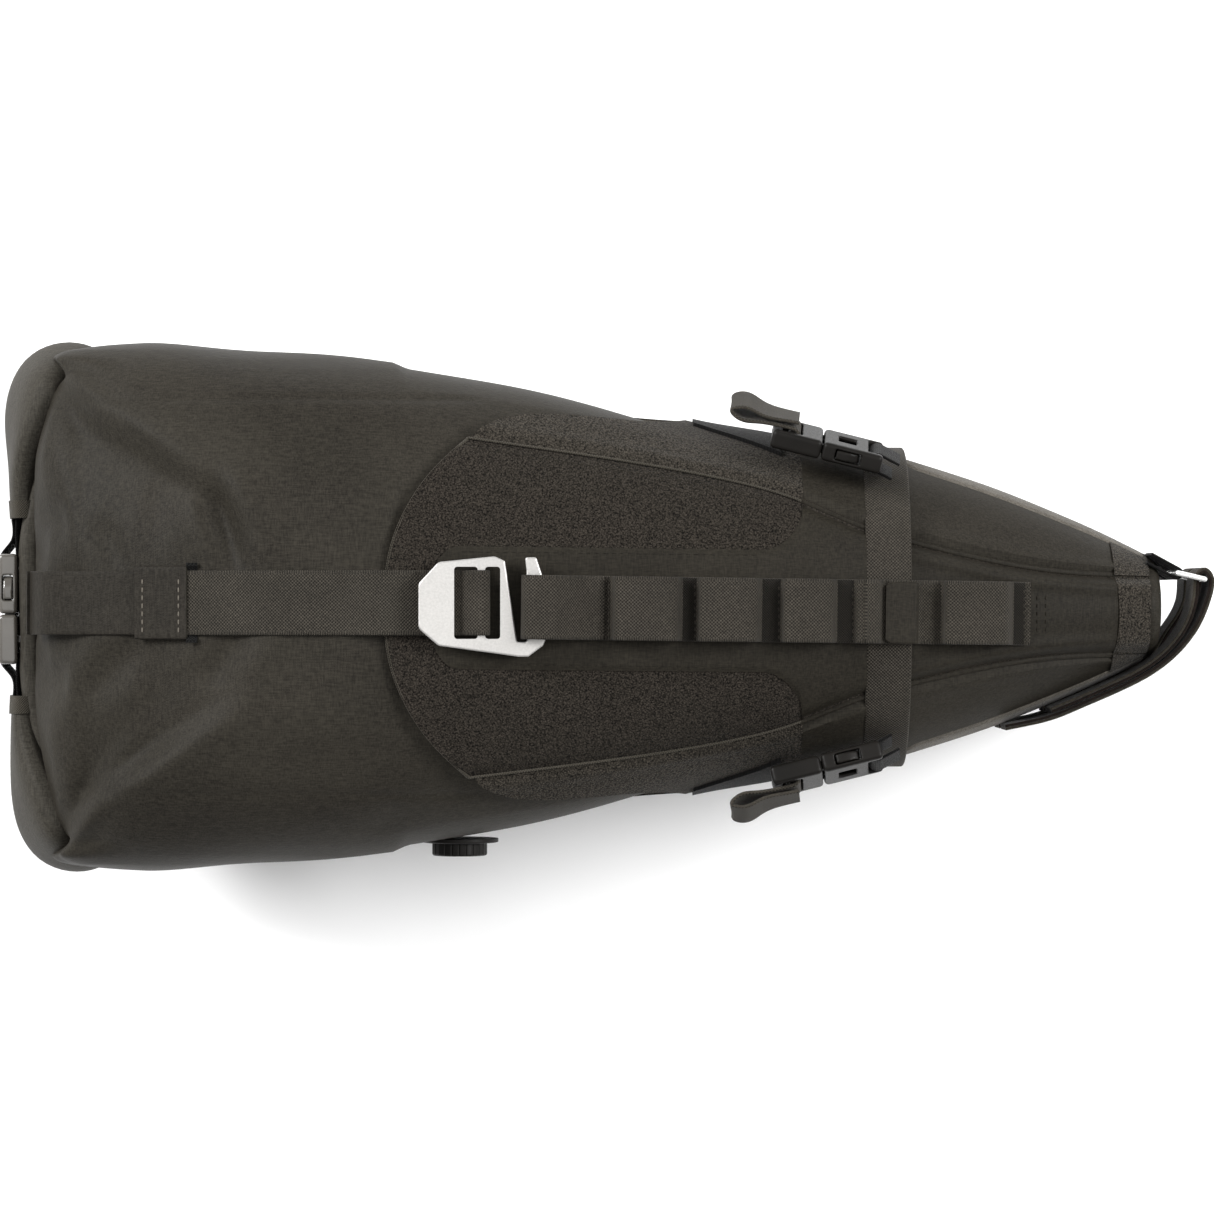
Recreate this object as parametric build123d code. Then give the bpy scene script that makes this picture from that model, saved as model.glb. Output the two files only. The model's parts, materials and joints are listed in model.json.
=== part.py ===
from build123d import *
import os
from functools import lru_cache
from math import copysign, cos, pi, radians, sin

# Bikepacking saddle bag: a roll-top dry bag strapped into a tapered holster.
# Frame: origin at the bottom centre of the whole pack, +X towards the seatpost (front),
# +Y to the rider's left, +Z up. All lengths are millimetres, all angles degrees.

# ---- driving dimensions ----
FRONT_X = 214.5            # where the holster tube ends and the nose panel begins
NOSE_X = 219.5             # flat front face that rests against the seatpost
BAG_FRONT_X = 206.0        # front end of the dry bag inside the holster
FIT_GAP = 0.2              # slack between the dry bag and the holster
SHELL = 2.6                # laminated holster fabric
OVERLAY = 1.0              # smooth reinforcement bonded on top of the holster
WEB_WIDE = 25.0            # compression strap and daisy chain
WEB_NARROW = 20.0          # straps in the side-release buckles
WEB_THICK = 1.2
STACK = 0.2                # air between stacked layers

HOLSTER_IN = FIT_GAP
HOLSTER_OUT = HOLSTER_IN + SHELL
OVERLAY_OUT = HOLSTER_OUT + OVERLAY

STRAP_Y = 1.6              # centreline of the compression strap

# Stations of the stuffed dry bag: x, half width, bottom, top, height of the widest line,
# and how square the upper half is (2 is an ellipse).
STATIONS = [
    (-226.0, 84.0, 84.0, 114.0, 99.0, 2.6),
    (-221.0, 93.0, 62.0, 124.0, 95.0, 2.6),
    (-213.0, 101.0, 38.0, 132.0, 88.0, 2.6),
    (-203.0, 105.5, 20.0, 138.5, 82.0, 2.6),
    (-188.0, 107.4, 8.0, 145.0, 78.0, 2.7),
    (-165.0, 106.2, 0.5, 150.0, 76.0, 2.8),
    (-135.0, 103.2, -0.8, 153.0, 75.0, 2.8),
    (-100.0, 99.5, -0.8, 153.5, 75.0, 2.8),
    (-65.0, 94.2, 2.0, 152.5, 75.0, 2.7),
    (-30.0, 88.0, 2.0, 151.0, 75.0, 2.6),
    (5.0, 78.8, 2.0, 148.5, 75.0, 2.6),
    (40.0, 69.4, 2.0, 145.0, 75.0, 2.5),
    (75.0, 65.0, 2.6, 139.8, 74.0, 2.4),
    (105.0, 59.2, 5.0, 134.0, 73.0, 2.3),
    (130.0, 52.0, 9.0, 128.0, 71.0, 2.2),
    (155.0, 43.8, 13.0, 121.0, 69.0, 2.2),
    (178.0, 34.7, 17.0, 113.5, 67.0, 2.2),
    (196.0, 27.0, 21.0, 106.5, 65.0, 2.2),
    (FRONT_X, 18.0, 26.0, 98.0, 63.0, 2.3),
]
BOTTOM_SQUARENESS = 3.2
RING_POINTS = 24

# Side-release buckle, 20 mm class
BUCKLE_W = 28.0
BUCKLE_T = 7.5
FEMALE_L = 24.0
MALE_L = 20.0
CAVITY_W = 23.0
CAVITY_T = 4.3
CAVITY_L = 16.5
ARM_T = 3.6
ARM_PIVOT = (-1.6, 8.2)    # along the buckle, and out from its middle
PIVOT_R = 1.35
PIVOT_SLACK = 0.2

REAR_BUCKLE_AT = (-238.2, -2.8, 74.0)
RAIL_BUCKLE_AT = (83.8, 63.6, 124.5)
RAIL_HEADING = 14.0        # the side buckles follow the taper of the holster
RAIL_LEAN = 14.0           # and lean outwards at the bottom

# Roll closure
ROLL_Z = (57.0, 90.0)
ROLL_THICK = 9.0

# Hook of the compression strap
HOOK_BAR_X = -48.0
HOOK_BAR_R = 1.4
HOOK_TURN_R = 2.15         # inside radius of the webbing round the bar
HOOK_THICK = 3.0

# Air valve on the right-hand side of the dry bag
VALVE_AT = (-59.0, 72.0)   # x, z
VALVE_FACE_Y = -92.6


# ---- shape helpers ----
def superellipse(angle, half, rise, power):
    """Point of a superellipse quadrant pair: (across, up)."""
    across = half * copysign(abs(cos(angle)) ** (2 / power), cos(angle))
    up = rise * copysign(abs(sin(angle)) ** (2 / power), sin(angle))
    return across, up


def ring(station, grow):
    """Closed cross-section of the pack at one station, grown outwards by grow."""
    x, half, bottom, top, waist, squareness = station
    points = []
    for i in range(RING_POINTS):
        angle = 2 * pi * i / RING_POINTS
        upper = sin(angle) >= 0
        rise = (top - waist if upper else waist - bottom) + grow
        power = squareness if upper else BOTTOM_SQUARENESS
        across, up = superellipse(angle, half + grow, rise, power)
        points.append((x, across, waist + up))
    return Wire([Edge.make_spline(points, periodic=True)])


@lru_cache(maxsize=None)
def pack_solid(grow):
    """The whole stuffed form, grown outwards by grow."""
    return Solid.make_loft([ring(s, grow) for s in STATIONS])


def block(x, y, z):
    """Box between two corners given as (low, high) pairs."""
    size = [b - a for a, b in (x, y, z)]
    low = (x[0], y[0], z[0])
    return Solid.make_box(*size).moved(Location(low))


def layer(inside, outside, region):
    """Fabric layer between two grown forms, limited to a region."""
    return clean((pack_solid(outside) & region) - pack_solid(inside))


def clean(shape):
    """The single largest solid of a boolean result."""
    return max(shape.solids(), key=lambda s: s.volume)


def prism(face, z_low, z_high):
    """Vertical prism over a plan face."""
    return extrude(face.moved(Location((0, 0, z_low))), z_high - z_low, dir=(0, 0, 1)).solid()


def wall(face, y_low, y_high):
    """Prism over a face whose x and y are the pack's x and z, from y_low to y_high."""
    upright = Plane(origin=(0, y_high, 0), x_dir=(1, 0, 0), z_dir=(0, -1, 0))
    return upright.location * prism(face, 0, y_high - y_low)


def closed_face(*edges):
    """Planar face bounded by edges in order."""
    return Face(Wire(edges))


def edge_lines(points, thick, samples, tangents=None):
    """Points along the left and right side of a strap that follows a smooth line."""
    line = Edge.make_spline([Vector(*p) for p in points], tangents=tangents)
    left = []
    right = []
    for i in range(samples + 1):
        t = i / samples
        at = line.position_at(t)
        along = line.tangent_at(t)
        side = Vector(-along.Y, along.X, 0) * (thick / 2)
        left.append(at + side)
        right.append(at - side)
    return left, right


def ribbon(points, thick, samples=40):
    """Plan face of a strap seen edge-on: a smooth line through points, thick across."""
    left, right = edge_lines(points, thick, samples)
    return closed_face(
        Edge.make_spline(left),
        Edge.make_line(left[-1], right[-1]),
        Edge.make_spline(right[::-1]),
        Edge.make_line(right[0], left[0]),
    )


def side_strap(points, thick, y_low, y_high, samples=40):
    """Strap whose edge-on line is drawn in the XZ plane, running from y_low to y_high."""
    return wall(ribbon(points, thick, samples), y_low, y_high)


@lru_cache(maxsize=None)
def bag_height(x):
    """Height of the dry bag's upper surface over a point on the middle line."""
    hits = pack_solid(0.0).find_intersection_points(Axis((x, 0, 300), (0, 0, -1)))
    return max(point.Z for point, _ in hits)


def drift(x):
    """The top panel sits slightly to the right of the middle, more so at the front."""
    return -0.9 - 0.011 * x


# ---- holster ----
TONGUE_REAR_X = -86.0
CORNER_X = -54.0
SEAM = [(CORNER_X, 65.8), (0.0, 58.6), (46.0, 51.0), (74.0, 43.5), (100.0, 33.0),
        (118.0, 27.8), (174.0, 17.2), (FRONT_X + 1, 15.5)]
REAR_CURVE = [(CORNER_X, 65.8), (-67.0, 53.0), (-75.5, 41.0), (-82.5, 25.0), (TONGUE_REAR_X, 0.0)]


def top_outline(inset=0.0):
    """Plan of the top panel: a rounded tongue at the rear, narrowing to the nose."""
    rear_left = [(x + inset, drift(x) + w - inset * 0.6) for x, w in REAR_CURVE]
    rear_right = [(x + inset, drift(x) - w + inset * 0.6) for x, w in REAR_CURVE]
    rear = rear_left + rear_right[-2::-1]
    left = [(x, drift(x) + w - inset * 0.6) for x, w in SEAM]
    right = [(x, drift(x) - w + inset * 0.6) for x, w in SEAM]
    left[0] = rear[0]
    right[0] = rear[-1]
    return closed_face(
        Edge.make_spline([Vector(*p) for p in rear]),
        Edge.make_spline([Vector(*p) for p in right]),
        Edge.make_line(Vector(*right[-1]), Vector(*left[-1])),
        Edge.make_spline([Vector(*p) for p in left[::-1]]),
    )


def top_panel():
    return layer(HOLSTER_IN, HOLSTER_OUT, prism(top_outline(), 88, 175))


def mouth_binding():
    """Folded tape over the free edge of the tongue."""
    region = prism(top_outline(), 88, 175) - prism(top_outline(inset=6.0), 88, 175)
    region = region & block((-100, CORNER_X + 2), (-90, 90), (88, 175))
    return layer(HOLSTER_OUT, HOLSTER_OUT + 0.8, region)


TONGUE_HALF = 23.6
TONGUE_START_X = -69.0
FLARE_X = 74.0


def top_overlay():
    """Smooth reinforcement: a round-ended tongue that widens to the whole front panel."""
    middle = drift(0)
    straight_end = TONGUE_START_X + 12
    tongue = closed_face(
        Edge.make_line((FLARE_X + 2, middle + TONGUE_HALF), (straight_end, middle + TONGUE_HALF)),
        Edge.make_spline(
            [Vector(straight_end, middle + TONGUE_HALF), Vector(TONGUE_START_X, middle),
             Vector(straight_end, middle - TONGUE_HALF)],
            tangents=[Vector(-1, 0.0), Vector(1, 0.0)]),
        Edge.make_line((straight_end, middle - TONGUE_HALF), (FLARE_X + 2, middle - TONGUE_HALF)),
        Edge.make_line((FLARE_X + 2, middle - TONGUE_HALF), (FLARE_X + 2, middle + TONGUE_HALF)),
    )
    front = prism(top_outline(inset=0.5), 80, 175) & block((FLARE_X, FRONT_X), (-90, 90), (80, 175))
    region = prism(tongue, 80, 175) + front
    return layer(HOLSTER_OUT, OVERLAY_OUT, region)


BASE_REAR_X = -88.0
BASE = [(-60.0, 62.0), (0.0, 55.0), (75.0, 44.0), (130.0, 31.0), (178.0, 17.0), (FRONT_X + 1, 9.0)]


def base_outline(inset=0.0):
    """Plan of the base panel: a round-ended tongue like the top one."""
    left = [(x, max(w - inset, 6.0)) for x, w in BASE]
    right = [(x, -y) for x, y in left]
    rear = [left[0], (BASE_REAR_X + 8 + inset, 36 - inset), (BASE_REAR_X + inset, 0),
            (BASE_REAR_X + 8 + inset, -36 + inset), right[0]]
    return closed_face(
        Edge.make_spline([Vector(*p) for p in rear]),
        Edge.make_spline([Vector(*p) for p in right]),
        Edge.make_line(Vector(*right[-1]), Vector(*left[-1])),
        Edge.make_spline([Vector(*p) for p in left[::-1]]),
    )


ABOVE_FLOOR = ((-260, 260), (-130, 130), (0, 200))


def base_panel():
    region = prism(base_outline(), -5, 45)
    return clean(layer(HOLSTER_IN, HOLSTER_OUT, region) & block(*ABOVE_FLOOR))


STIFFENER = 1.6


def base_stiffener():
    """Plastic sheet that keeps the base from folding, inside the base panel."""
    region = prism(base_outline(inset=9.0), -5, 40) & block((-78, 150), (-60, 60), (-5, 40))
    return layer(-STIFFENER, 0.0, region)


# Free edge of the side panels, seen from the side: it dips forwards between the two tongues.
NOTCH = [(-54.0, 143.0), (-28.0, 129.0), (-3.0, 122.0), (21.0, 109.0), (31.0, 78.0),
         (21.0, 46.0), (-10.0, 27.0), (-60.0, 14.0), (-92.0, 8.0)]


def notch_prism():
    """Everything behind the free edge of the side panels."""
    edge = [Vector(x, z) for x, z in NOTCH]
    face = closed_face(
        Edge.make_spline(edge),
        Edge.make_line(edge[-1], Vector(-92, -20)),
        Edge.make_line(Vector(-92, -20), Vector(-240, -20)),
        Edge.make_line(Vector(-240, -20), Vector(-240, 190)),
        Edge.make_line(Vector(-240, 190), Vector(-54, 190)),
        Edge.make_line(Vector(-54, 190), edge[0]),
    )
    return wall(face, -130, 130)


def side_panels():
    """Left and right side panels, from the top seam to the base seam."""
    tube = pack_solid(HOLSTER_OUT) & block((-56, FRONT_X), (-120, 120), (0, 175))
    tube = tube - notch_prism()
    tube = tube - prism(top_outline(), 88, 175)
    tube = tube - prism(base_outline(), -5, 45)
    tube = tube - pack_solid(HOLSTER_IN)
    left = clean(tube & block((-100, FRONT_X), (0, 120), (0, 175)))
    right = clean(tube & block((-100, FRONT_X), (-120, 0), (0, 175)))
    return left, right


def nose_panel():
    """Padded front wall, slightly smaller at its flat face."""
    x, half, bottom, top, waist, squareness = STATIONS[-1]
    root = ring(STATIONS[-1], HOLSTER_OUT)
    mid = ring((NOSE_X - 1.6, half - 1.8, bottom + 1, top - 1.4, waist, squareness), HOLSTER_OUT)
    face = ring((NOSE_X, half - 4.4, bottom + 3, top - 4, waist, squareness), HOLSTER_OUT)
    return Solid.make_loft([root, mid, face])


def nose_foam():
    region = block((BAG_FRONT_X + 0.3, FRONT_X - 0.2), (-60, 60), (0, 140))
    return clean(pack_solid(0.0) & region)


def edge_trim(side):
    """Felt-like band along the side of the holster's front half."""
    y = (0, 120) if side > 0 else (-120, 0)
    low, high = 76.0, 86.0
    face = closed_face(
        Edge.make_line((122, low), (210, low - 9)),
        Edge.make_line((210, low - 9), (210, high - 9)),
        Edge.make_line((210, high - 9), (122, high)),
        Edge.make_line((122, high), (122, low)),
    )
    return layer(HOLSTER_OUT, HOLSTER_OUT + 0.8, wall(face, *y))


# ---- roll closure at the rear ----
ROLL_LINE = [(-233.6, 37.0), (-234.2, 58.0), (-232.2, 78.0), (-230.0, 89.5), (-228.0, 94.6),
             (-223.2, 96.8), (-218.4, 94.6), (-216.4, 89.5), (-217.4, 74.0), (-219.6, 52.0),
             (-221.2, 26.0), (-221.6, 0.0)]
ROLL_STRIP = 1.6


def roll_path():
    return ROLL_LINE + [(x, -y) for x, y in ROLL_LINE[-2::-1]]


def roll_top():
    """Bag mouth rolled up into a flat tube whose two ends are bent back behind it."""
    low, high = ROLL_Z
    full = prism(ribbon(roll_path(), ROLL_THICK, samples=60), low + 2.5, high - 2.5)
    core = prism(ribbon(roll_path(), ROLL_THICK - 3.0, samples=60), low, high)
    return clean(full + core - roll_strip(slack=0.05))


def roll_strip(slack=0.0):
    """Stiff plastic strip that the bag mouth is rolled around."""
    x = -221.4
    return block((x - ROLL_STRIP / 2 - slack, x + ROLL_STRIP / 2 + slack),
                 (-50 - slack, 50 + slack), (63 - slack, 84 + slack))


def roll_pocket():
    """Room that the roll takes under the bulging rear edge of the bag."""
    face = ribbon(roll_path(), ROLL_THICK + 1.0, samples=60)
    band = prism(face, ROLL_Z[0] - 0.5, ROLL_Z[1] + 0.5)
    behind = block((-245, -216.9), (-84, 84), (-5, ROLL_Z[1] + 0.5))
    return band + behind


LOOP_R = 2.65              # inside radius of a webbing loop round a buckle's bar
LOOP_T = 1.1


def roll_webbing(side):
    """Webbing loop sewn to one end of the roll, round the bar of the rear buckle."""
    x, y, z = REAR_BUCKLE_AT
    bar_y = y + (female_bar_x() if side > 0 else male_bar_x())
    outside, inside = racetrack((x, bar_y), (x + 3.0, side * 36.0), LOOP_R, LOOP_T)
    low, high = z - WEB_NARROW / 2, z + WEB_NARROW / 2
    return prism(outside, low, high) - prism(inside, low, high)


def racetrack(a, b, inner_r, thick):
    """Plan faces of a closed webbing loop from a bar at a to a seam at b: outside and inside."""
    start = Vector(*a)
    end = Vector(*b)
    along = (end - start).normalized()
    side = Vector(-along.Y, along.X, 0)
    faces = []
    for r in (inner_r + thick, inner_r):
        p = [start + side * r, end + side * r, end - side * r, start - side * r]
        tip = start - along * r
        faces.append(closed_face(
            Edge.make_line(p[0], p[1]), Edge.make_line(p[1], p[2]), Edge.make_line(p[2], p[3]),
            Edge.make_three_point_arc(p[3], tip, p[0])))
    return faces


# ---- side-release buckle, in its own frame: x along the strap, y across, z out ----
def female_bar_x():
    return FEMALE_L - 1.95


def male_bar_x():
    return -MALE_L + 2.0


def rounded_block(x, y, z, radius):
    solid = block(x, y, z)
    return fillet(solid.edges(), radius)


def buckle_female():
    """Socket half: a flat shell open at the mouth, with side windows and a webbing slot."""
    half_w, half_t = BUCKLE_W / 2, BUCKLE_T / 2
    shell = rounded_block((0.2, FEMALE_L), (-half_w, half_w), (-half_t, half_t), 1.6)
    cavity = block((-1, CAVITY_L), (-CAVITY_W / 2, CAVITY_W / 2), (-CAVITY_T / 2, CAVITY_T / 2))
    windows = block((5.4, 15.6), (-half_w - 1, half_w + 1), (-CAVITY_T / 2, CAVITY_T / 2))
    slot = block((FEMALE_L - 6.2, FEMALE_L - 3.9), (-10.6, 10.6), (-half_t - 1, half_t + 1))
    scoop_top = block((FEMALE_L - 3.9, FEMALE_L + 1), (-10.6, 10.6), (1.55, half_t + 1))
    scoop_low = block((FEMALE_L - 3.9, FEMALE_L + 1), (-10.6, 10.6), (-half_t - 1, -1.55))
    view = block((6.0, 13.0), (-5.0, 5.0), (0, half_t + 1))
    body = shell - cavity - windows - slot - scoop_top - scoop_low - view
    return clean(body)


def buckle_male():
    """Plug half: guide tongue, sockets for the two latch arms, and a ladder for the strap."""
    half_w, half_t = BUCKLE_W / 2, BUCKLE_T / 2
    base = rounded_block((-MALE_L, -0.2), (-half_w, half_w), (-half_t, half_t), 1.6)
    tongue = block((-3, 14.0), (-1.7, 1.7), (-ARM_T / 2, ARM_T / 2))
    rear_slot = block((-MALE_L + 4.0, -MALE_L + 6.3), (-10.6, 10.6), (-half_t - 1, half_t + 1))
    front_slot = block((-MALE_L + 9.0, -MALE_L + 11.3), (-10.6, 10.6), (-half_t - 1, half_t + 1))
    scoop_top = block((-MALE_L - 1, -MALE_L + 4.0), (-10.6, 10.6), (1.55, half_t + 1))
    scoop_low = block((-MALE_L - 1, -MALE_L + 4.0), (-10.6, 10.6), (-half_t - 1, -1.55))
    body = base + tongue - rear_slot - front_slot - scoop_top - scoop_low
    for side in (1, -1):
        at = (ARM_PIVOT[0], side * ARM_PIVOT[1], -ARM_T / 2 - PIVOT_SLACK)
        socket = Solid.make_cylinder(PIVOT_R + PIVOT_SLACK, ARM_T + 2 * PIVOT_SLACK)
        mouth = block((ARM_PIVOT[0], 0.5), (ARM_PIVOT[1] - 2.9, ARM_PIVOT[1] + 1.5),
                      (-ARM_T / 2 - PIVOT_SLACK, ARM_T / 2 + PIVOT_SLACK))
        if side < 0:
            mouth = mouth.mirror(Plane.XZ)
        body = body - socket.moved(Location(at)) - mouth
    return clean(body)


def latch_arm(side):
    """Springy arm with its thumb pad, turning about its root in the plug half."""
    px, py = ARM_PIVOT
    outline = closed_face(
        Edge.make_line((px, py - 1.0), (5.9, py + 0.2)),
        Edge.make_line((5.9, py + 0.2), (14.0, py + 1.2)),
        Edge.make_three_point_arc((14.0, py + 1.2), (15.0, py + 2.6), (14.4, py + 4.6)),
        Edge.make_three_point_arc((14.4, py + 4.6), (10.0, py + 6.2), (5.9, py + 6.0)),
        Edge.make_line((5.9, py + 6.0), (5.9, py + 2.2)),
        Edge.make_line((5.9, py + 2.2), (px, py + 1.0)),
        Edge.make_line((px, py + 1.0), (px, py - 1.0)),
    )
    arm = prism(outline, -ARM_T / 2, ARM_T / 2)
    root = Solid.make_cylinder(PIVOT_R, ARM_T).moved(Location((px, py, -ARM_T / 2)))
    arm = (arm + root).solid()
    return arm if side > 0 else arm.mirror(Plane.XZ)


def rear_frame():
    return Plane(origin=REAR_BUCKLE_AT, x_dir=(0, 1, 0), z_dir=(-1, 0, 0))


def rail_frame(side):
    x, y, z = RAIL_BUCKLE_AT
    heading, lean = radians(RAIL_HEADING), radians(RAIL_LEAN)
    out = (sin(heading) * cos(lean), side * cos(heading) * cos(lean), sin(lean))
    return Plane(origin=(x, side * y, z),
                 x_dir=(cos(heading), -side * sin(heading), 0), z_dir=out)


# ---- rail straps on the two sides ----
def rail_tail(side):
    """Loose end of the rail strap, folded back on itself outside the buckle."""
    line = [(-MALE_L + 10.1, -1.0), (-MALE_L + 9.6, 4.4), (-MALE_L + 3.0, 5.7),
            (-MALE_L - 12.0, 6.4), (-MALE_L - 21.0, 8.6), (-MALE_L - 20.0, 12.4),
            (-MALE_L - 8.0, 11.0), (-MALE_L + 2.0, 9.0)]
    return in_buckle_frame(line, side, 1.3)


def rail_loop(side):
    """Fixed webbing loop that holds the socket half to the side of the holster."""
    outside, inside = racetrack((female_bar_x(), 0.0), (female_bar_x() + 8.0, -2.0), LOOP_R, LOOP_T)
    half = WEB_NARROW / 2
    loop = wall(outside, -half, half) - wall(inside, -half, half)
    loop = rail_frame(side).location * loop
    return clean(loop - pack_solid(OVERLAY_OUT + STACK + 1.7))


def in_buckle_frame(line, side, thick):
    """Strap drawn edge-on in the buckle's length and thickness, as wide as the webbing."""
    strip = side_strap(line, thick, -WEB_NARROW / 2, WEB_NARROW / 2)
    return rail_frame(side).location * strip


def rail_anchor(side):
    """Strap sewn along the side panel, rising to the ladder of the buckle."""
    y = (0, 120) if side > 0 else (-120, 0)
    face = closed_face(
        Edge.make_line((26, 84), (64, 103)), Edge.make_line((64, 103), (64, 123)),
        Edge.make_line((64, 123), (26, 104)), Edge.make_line((26, 104), (26, 84)))
    return layer(HOLSTER_OUT + STACK, HOLSTER_OUT + STACK + WEB_THICK, wall(face, *y))


CROSS_X = (100.3, 118.0)


def cross_strap():
    """Rail strap across the top, down to both side panels."""
    region = block(CROSS_X, (-100, 100), (92, 175))
    return layer(OVERLAY_OUT + STACK, OVERLAY_OUT + STACK + 1.6, region)


# ---- compression strap, hook and daisy chain on the top ----
def smooth_band():
    """Coated band bonded over the rear end of the dry bag."""
    region = block((-224.5, -180.0), (STRAP_Y - 12.4, STRAP_Y + 12.4), (100, 175))
    return layer(STACK, STACK + WEB_THICK, region)


def band_patch():
    """Doubled patch where the webbing is stitched to the band."""
    region = block((-182.5, -162.0), (STRAP_Y - 14.0, STRAP_Y + 14.0), (100, 175))
    lifted = STACK * 2 + WEB_THICK
    return layer(lifted, lifted + WEB_THICK, region)


def strap_surface(x):
    """Top of what the straps lie on, on the middle line."""
    if x < TONGUE_REAR_X + 3:
        return bag_height(x)
    return bag_height(x) + HOLSTER_OUT + (OVERLAY if x > TONGUE_START_X else 0.8)


def hook_bar_z():
    return strap_surface(HOOK_BAR_X) + STACK + WEB_THICK + 3.2


def compression_strap():
    """Woven strap from the patch to the hook, turned round the hook's bar."""
    half = WEB_THICK / 2
    turn = HOOK_TURN_R + half
    y_low, y_high = STRAP_Y - WEB_WIDE / 2, STRAP_Y + WEB_WIDE / 2
    z = hook_bar_z()
    on_bag = [(x, strap_surface(x) + 0.6 + half) for x in (-161.5, -140, -124, -112, -104, -99)]
    over_binding = [(-94, strap_surface(-99) + 2.2 + half), (-89, strap_surface(-82) + 0.1 + half),
                    (-82, strap_surface(-82) + 0.4 + half),
                    (-72, strap_surface(-72) + 0.5 + half), (-62, strap_surface(-62) + 0.5 + half)]
    to_bar = [(HOOK_BAR_X - 9, strap_surface(-57) + 0.5 + half),
              (HOOK_BAR_X - 4.5, z - turn - 0.35), (HOOK_BAR_X, z - turn)]
    lying = WEB_THICK + 0.75 + half
    return_leg = [(HOOK_BAR_X, z + turn), (HOOK_BAR_X - 4.2, z + turn - 1.7),
                  (HOOK_BAR_X - 8.8, strap_surface(-57) + lying + 0.3),
                  (-63, strap_surface(-63) + lying), (-72, strap_surface(-72) + lying)]
    ahead, astern = Vector(1, 0), Vector(-1, 0)
    lower_top, lower_under = edge_lines(on_bag + over_binding + to_bar, WEB_THICK, 60, [ahead, ahead])
    back_under, back_top = edge_lines(return_leg, WEB_THICK, 30, [astern, astern])
    outline = closed_face(
        Edge.make_spline(lower_under),
        Edge.make_three_point_arc(lower_under[-1], Vector(HOOK_BAR_X + turn + half, z), back_top[0]),
        Edge.make_spline(back_top),
        Edge.make_line(back_top[-1], back_under[-1]),
        Edge.make_spline(back_under[::-1]),
        Edge.make_three_point_arc(back_under[0], Vector(HOOK_BAR_X + turn - half, z), lower_top[-1]),
        Edge.make_spline(lower_top[::-1]),
        Edge.make_line(lower_top[0], lower_under[0]),
    )
    return wall(outline, y_low, y_high)


def strap_keeper():
    """Thin elastic loop that keeps the strap down beside the patch."""
    x = -156.0
    z = strap_surface(x)
    return block((x - 2, x + 2), (STRAP_Y - 15.2, STRAP_Y + 15.2), (z + 2.1, z + 2.9))


def g_hook():
    """Flat metal hook: strap slot at the rear, open throat and tip bar at the front."""
    z = hook_bar_z()
    rear, front = HOOK_BAR_X - 24.0, HOOK_BAR_X + 24.3
    outline = closed_face(*polyline_edges([
        (rear, 9.0), (rear + 7.6, 17.2), (rear + 29.0, 19.4), (rear + 33.0, 17.6),
        (rear + 37.6, -13.4), (rear + 41.4, -13.4), (rear + 41.2, 14.0), (rear + 40.6, 19.0),
        (rear + 45.0, 19.0), (front - 1.2, 12.6), (front + 0.2, -12.6), (front - 0.8, -14.8),
        (front - 6.4, -19.0), (front - 10.2, -19.0), (rear + 7.6, -14.8), (rear, -8.2)]))
    plate = prism(outline, 0, 60)
    broad = plate.edges().filter_by(Axis.Z).filter_by(lambda e: e.center().X < rear + 30)
    plate = fillet(broad, 3.2)
    tight = plate.edges().filter_by(Axis.Z).filter_by(lambda e: e.center().X > rear + 32)
    plate = fillet(tight, 0.9)
    rear_slot = block((rear + 13.6, HOOK_BAR_X - HOOK_BAR_R), (-12.2, 15.4), (-5, 65))
    front_slot = block((HOOK_BAR_X + HOOK_BAR_R, rear + 31.2), (-12.2, 15.4), (-5, 65))
    for slot in (rear_slot, front_slot):
        plate = plate - fillet(slot.edges().filter_by(Axis.Z), 1.2)
    profile = side_strap([(rear - 2, 30 + 3.3), (HOOK_BAR_X - 10, 30 + 1.0), (HOOK_BAR_X, 30.0),
                          (HOOK_BAR_X + 12, 29.8), (front + 2, 28.8)], HOOK_THICK, -25, 25)
    hook = clean(plate & profile)
    hook = fillet(hook.edges().filter_by(lambda e: e.length > 12 and abs(e.center().Y) > 15), 0.7)
    return clean(hook).moved(Location((0, 0, z - 30)))


def polyline_edges(points):
    corners = [Vector(*p) for p in points]
    return [Edge.make_line(a, b) for a, b in zip(corners, corners[1:] + corners[:1])]


# Daisy chain: where each loop starts and ends along x, and how high its arch stands.
LOOPS = [(3.0, 29.0, 4.2), (35.5, 60.5, 4.0), (67.5, 90.0, 4.0),
         (96.0, 105.5, 2.6), (133.0, 151.0, 4.2)]
DAISY_X = (-33.0, 165.0)
DAISY_TURN = -0.75         # the chain runs slightly to the right towards the front


def daisy_base_line(x):
    bump = 1.8 if CROSS_X[0] - 2.5 < x < CROSS_X[1] + 2.5 else 0.0
    return strap_surface(x) + bump + 0.4 + WEB_THICK / 2


def arch_line(start, end, rise):
    """Line of one loop from tack to tack, fullest towards its front."""
    foot = WEB_THICK * 0.7
    back_third = start * 0.75 + end * 0.25
    crown = start * 0.4 + end * 0.6
    return [(start - 1.5, daisy_base_line(start - 1.5) + foot),
            (start, daisy_base_line(start) + foot + 0.2),
            (back_third, daisy_base_line(back_third) + rise * 0.86),
            (crown, daisy_base_line(crown) + rise),
            (end - 1.0, daisy_base_line(end) + foot + 1.2),
            (end + 1.2, daisy_base_line(end + 1.2) + foot)]


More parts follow.
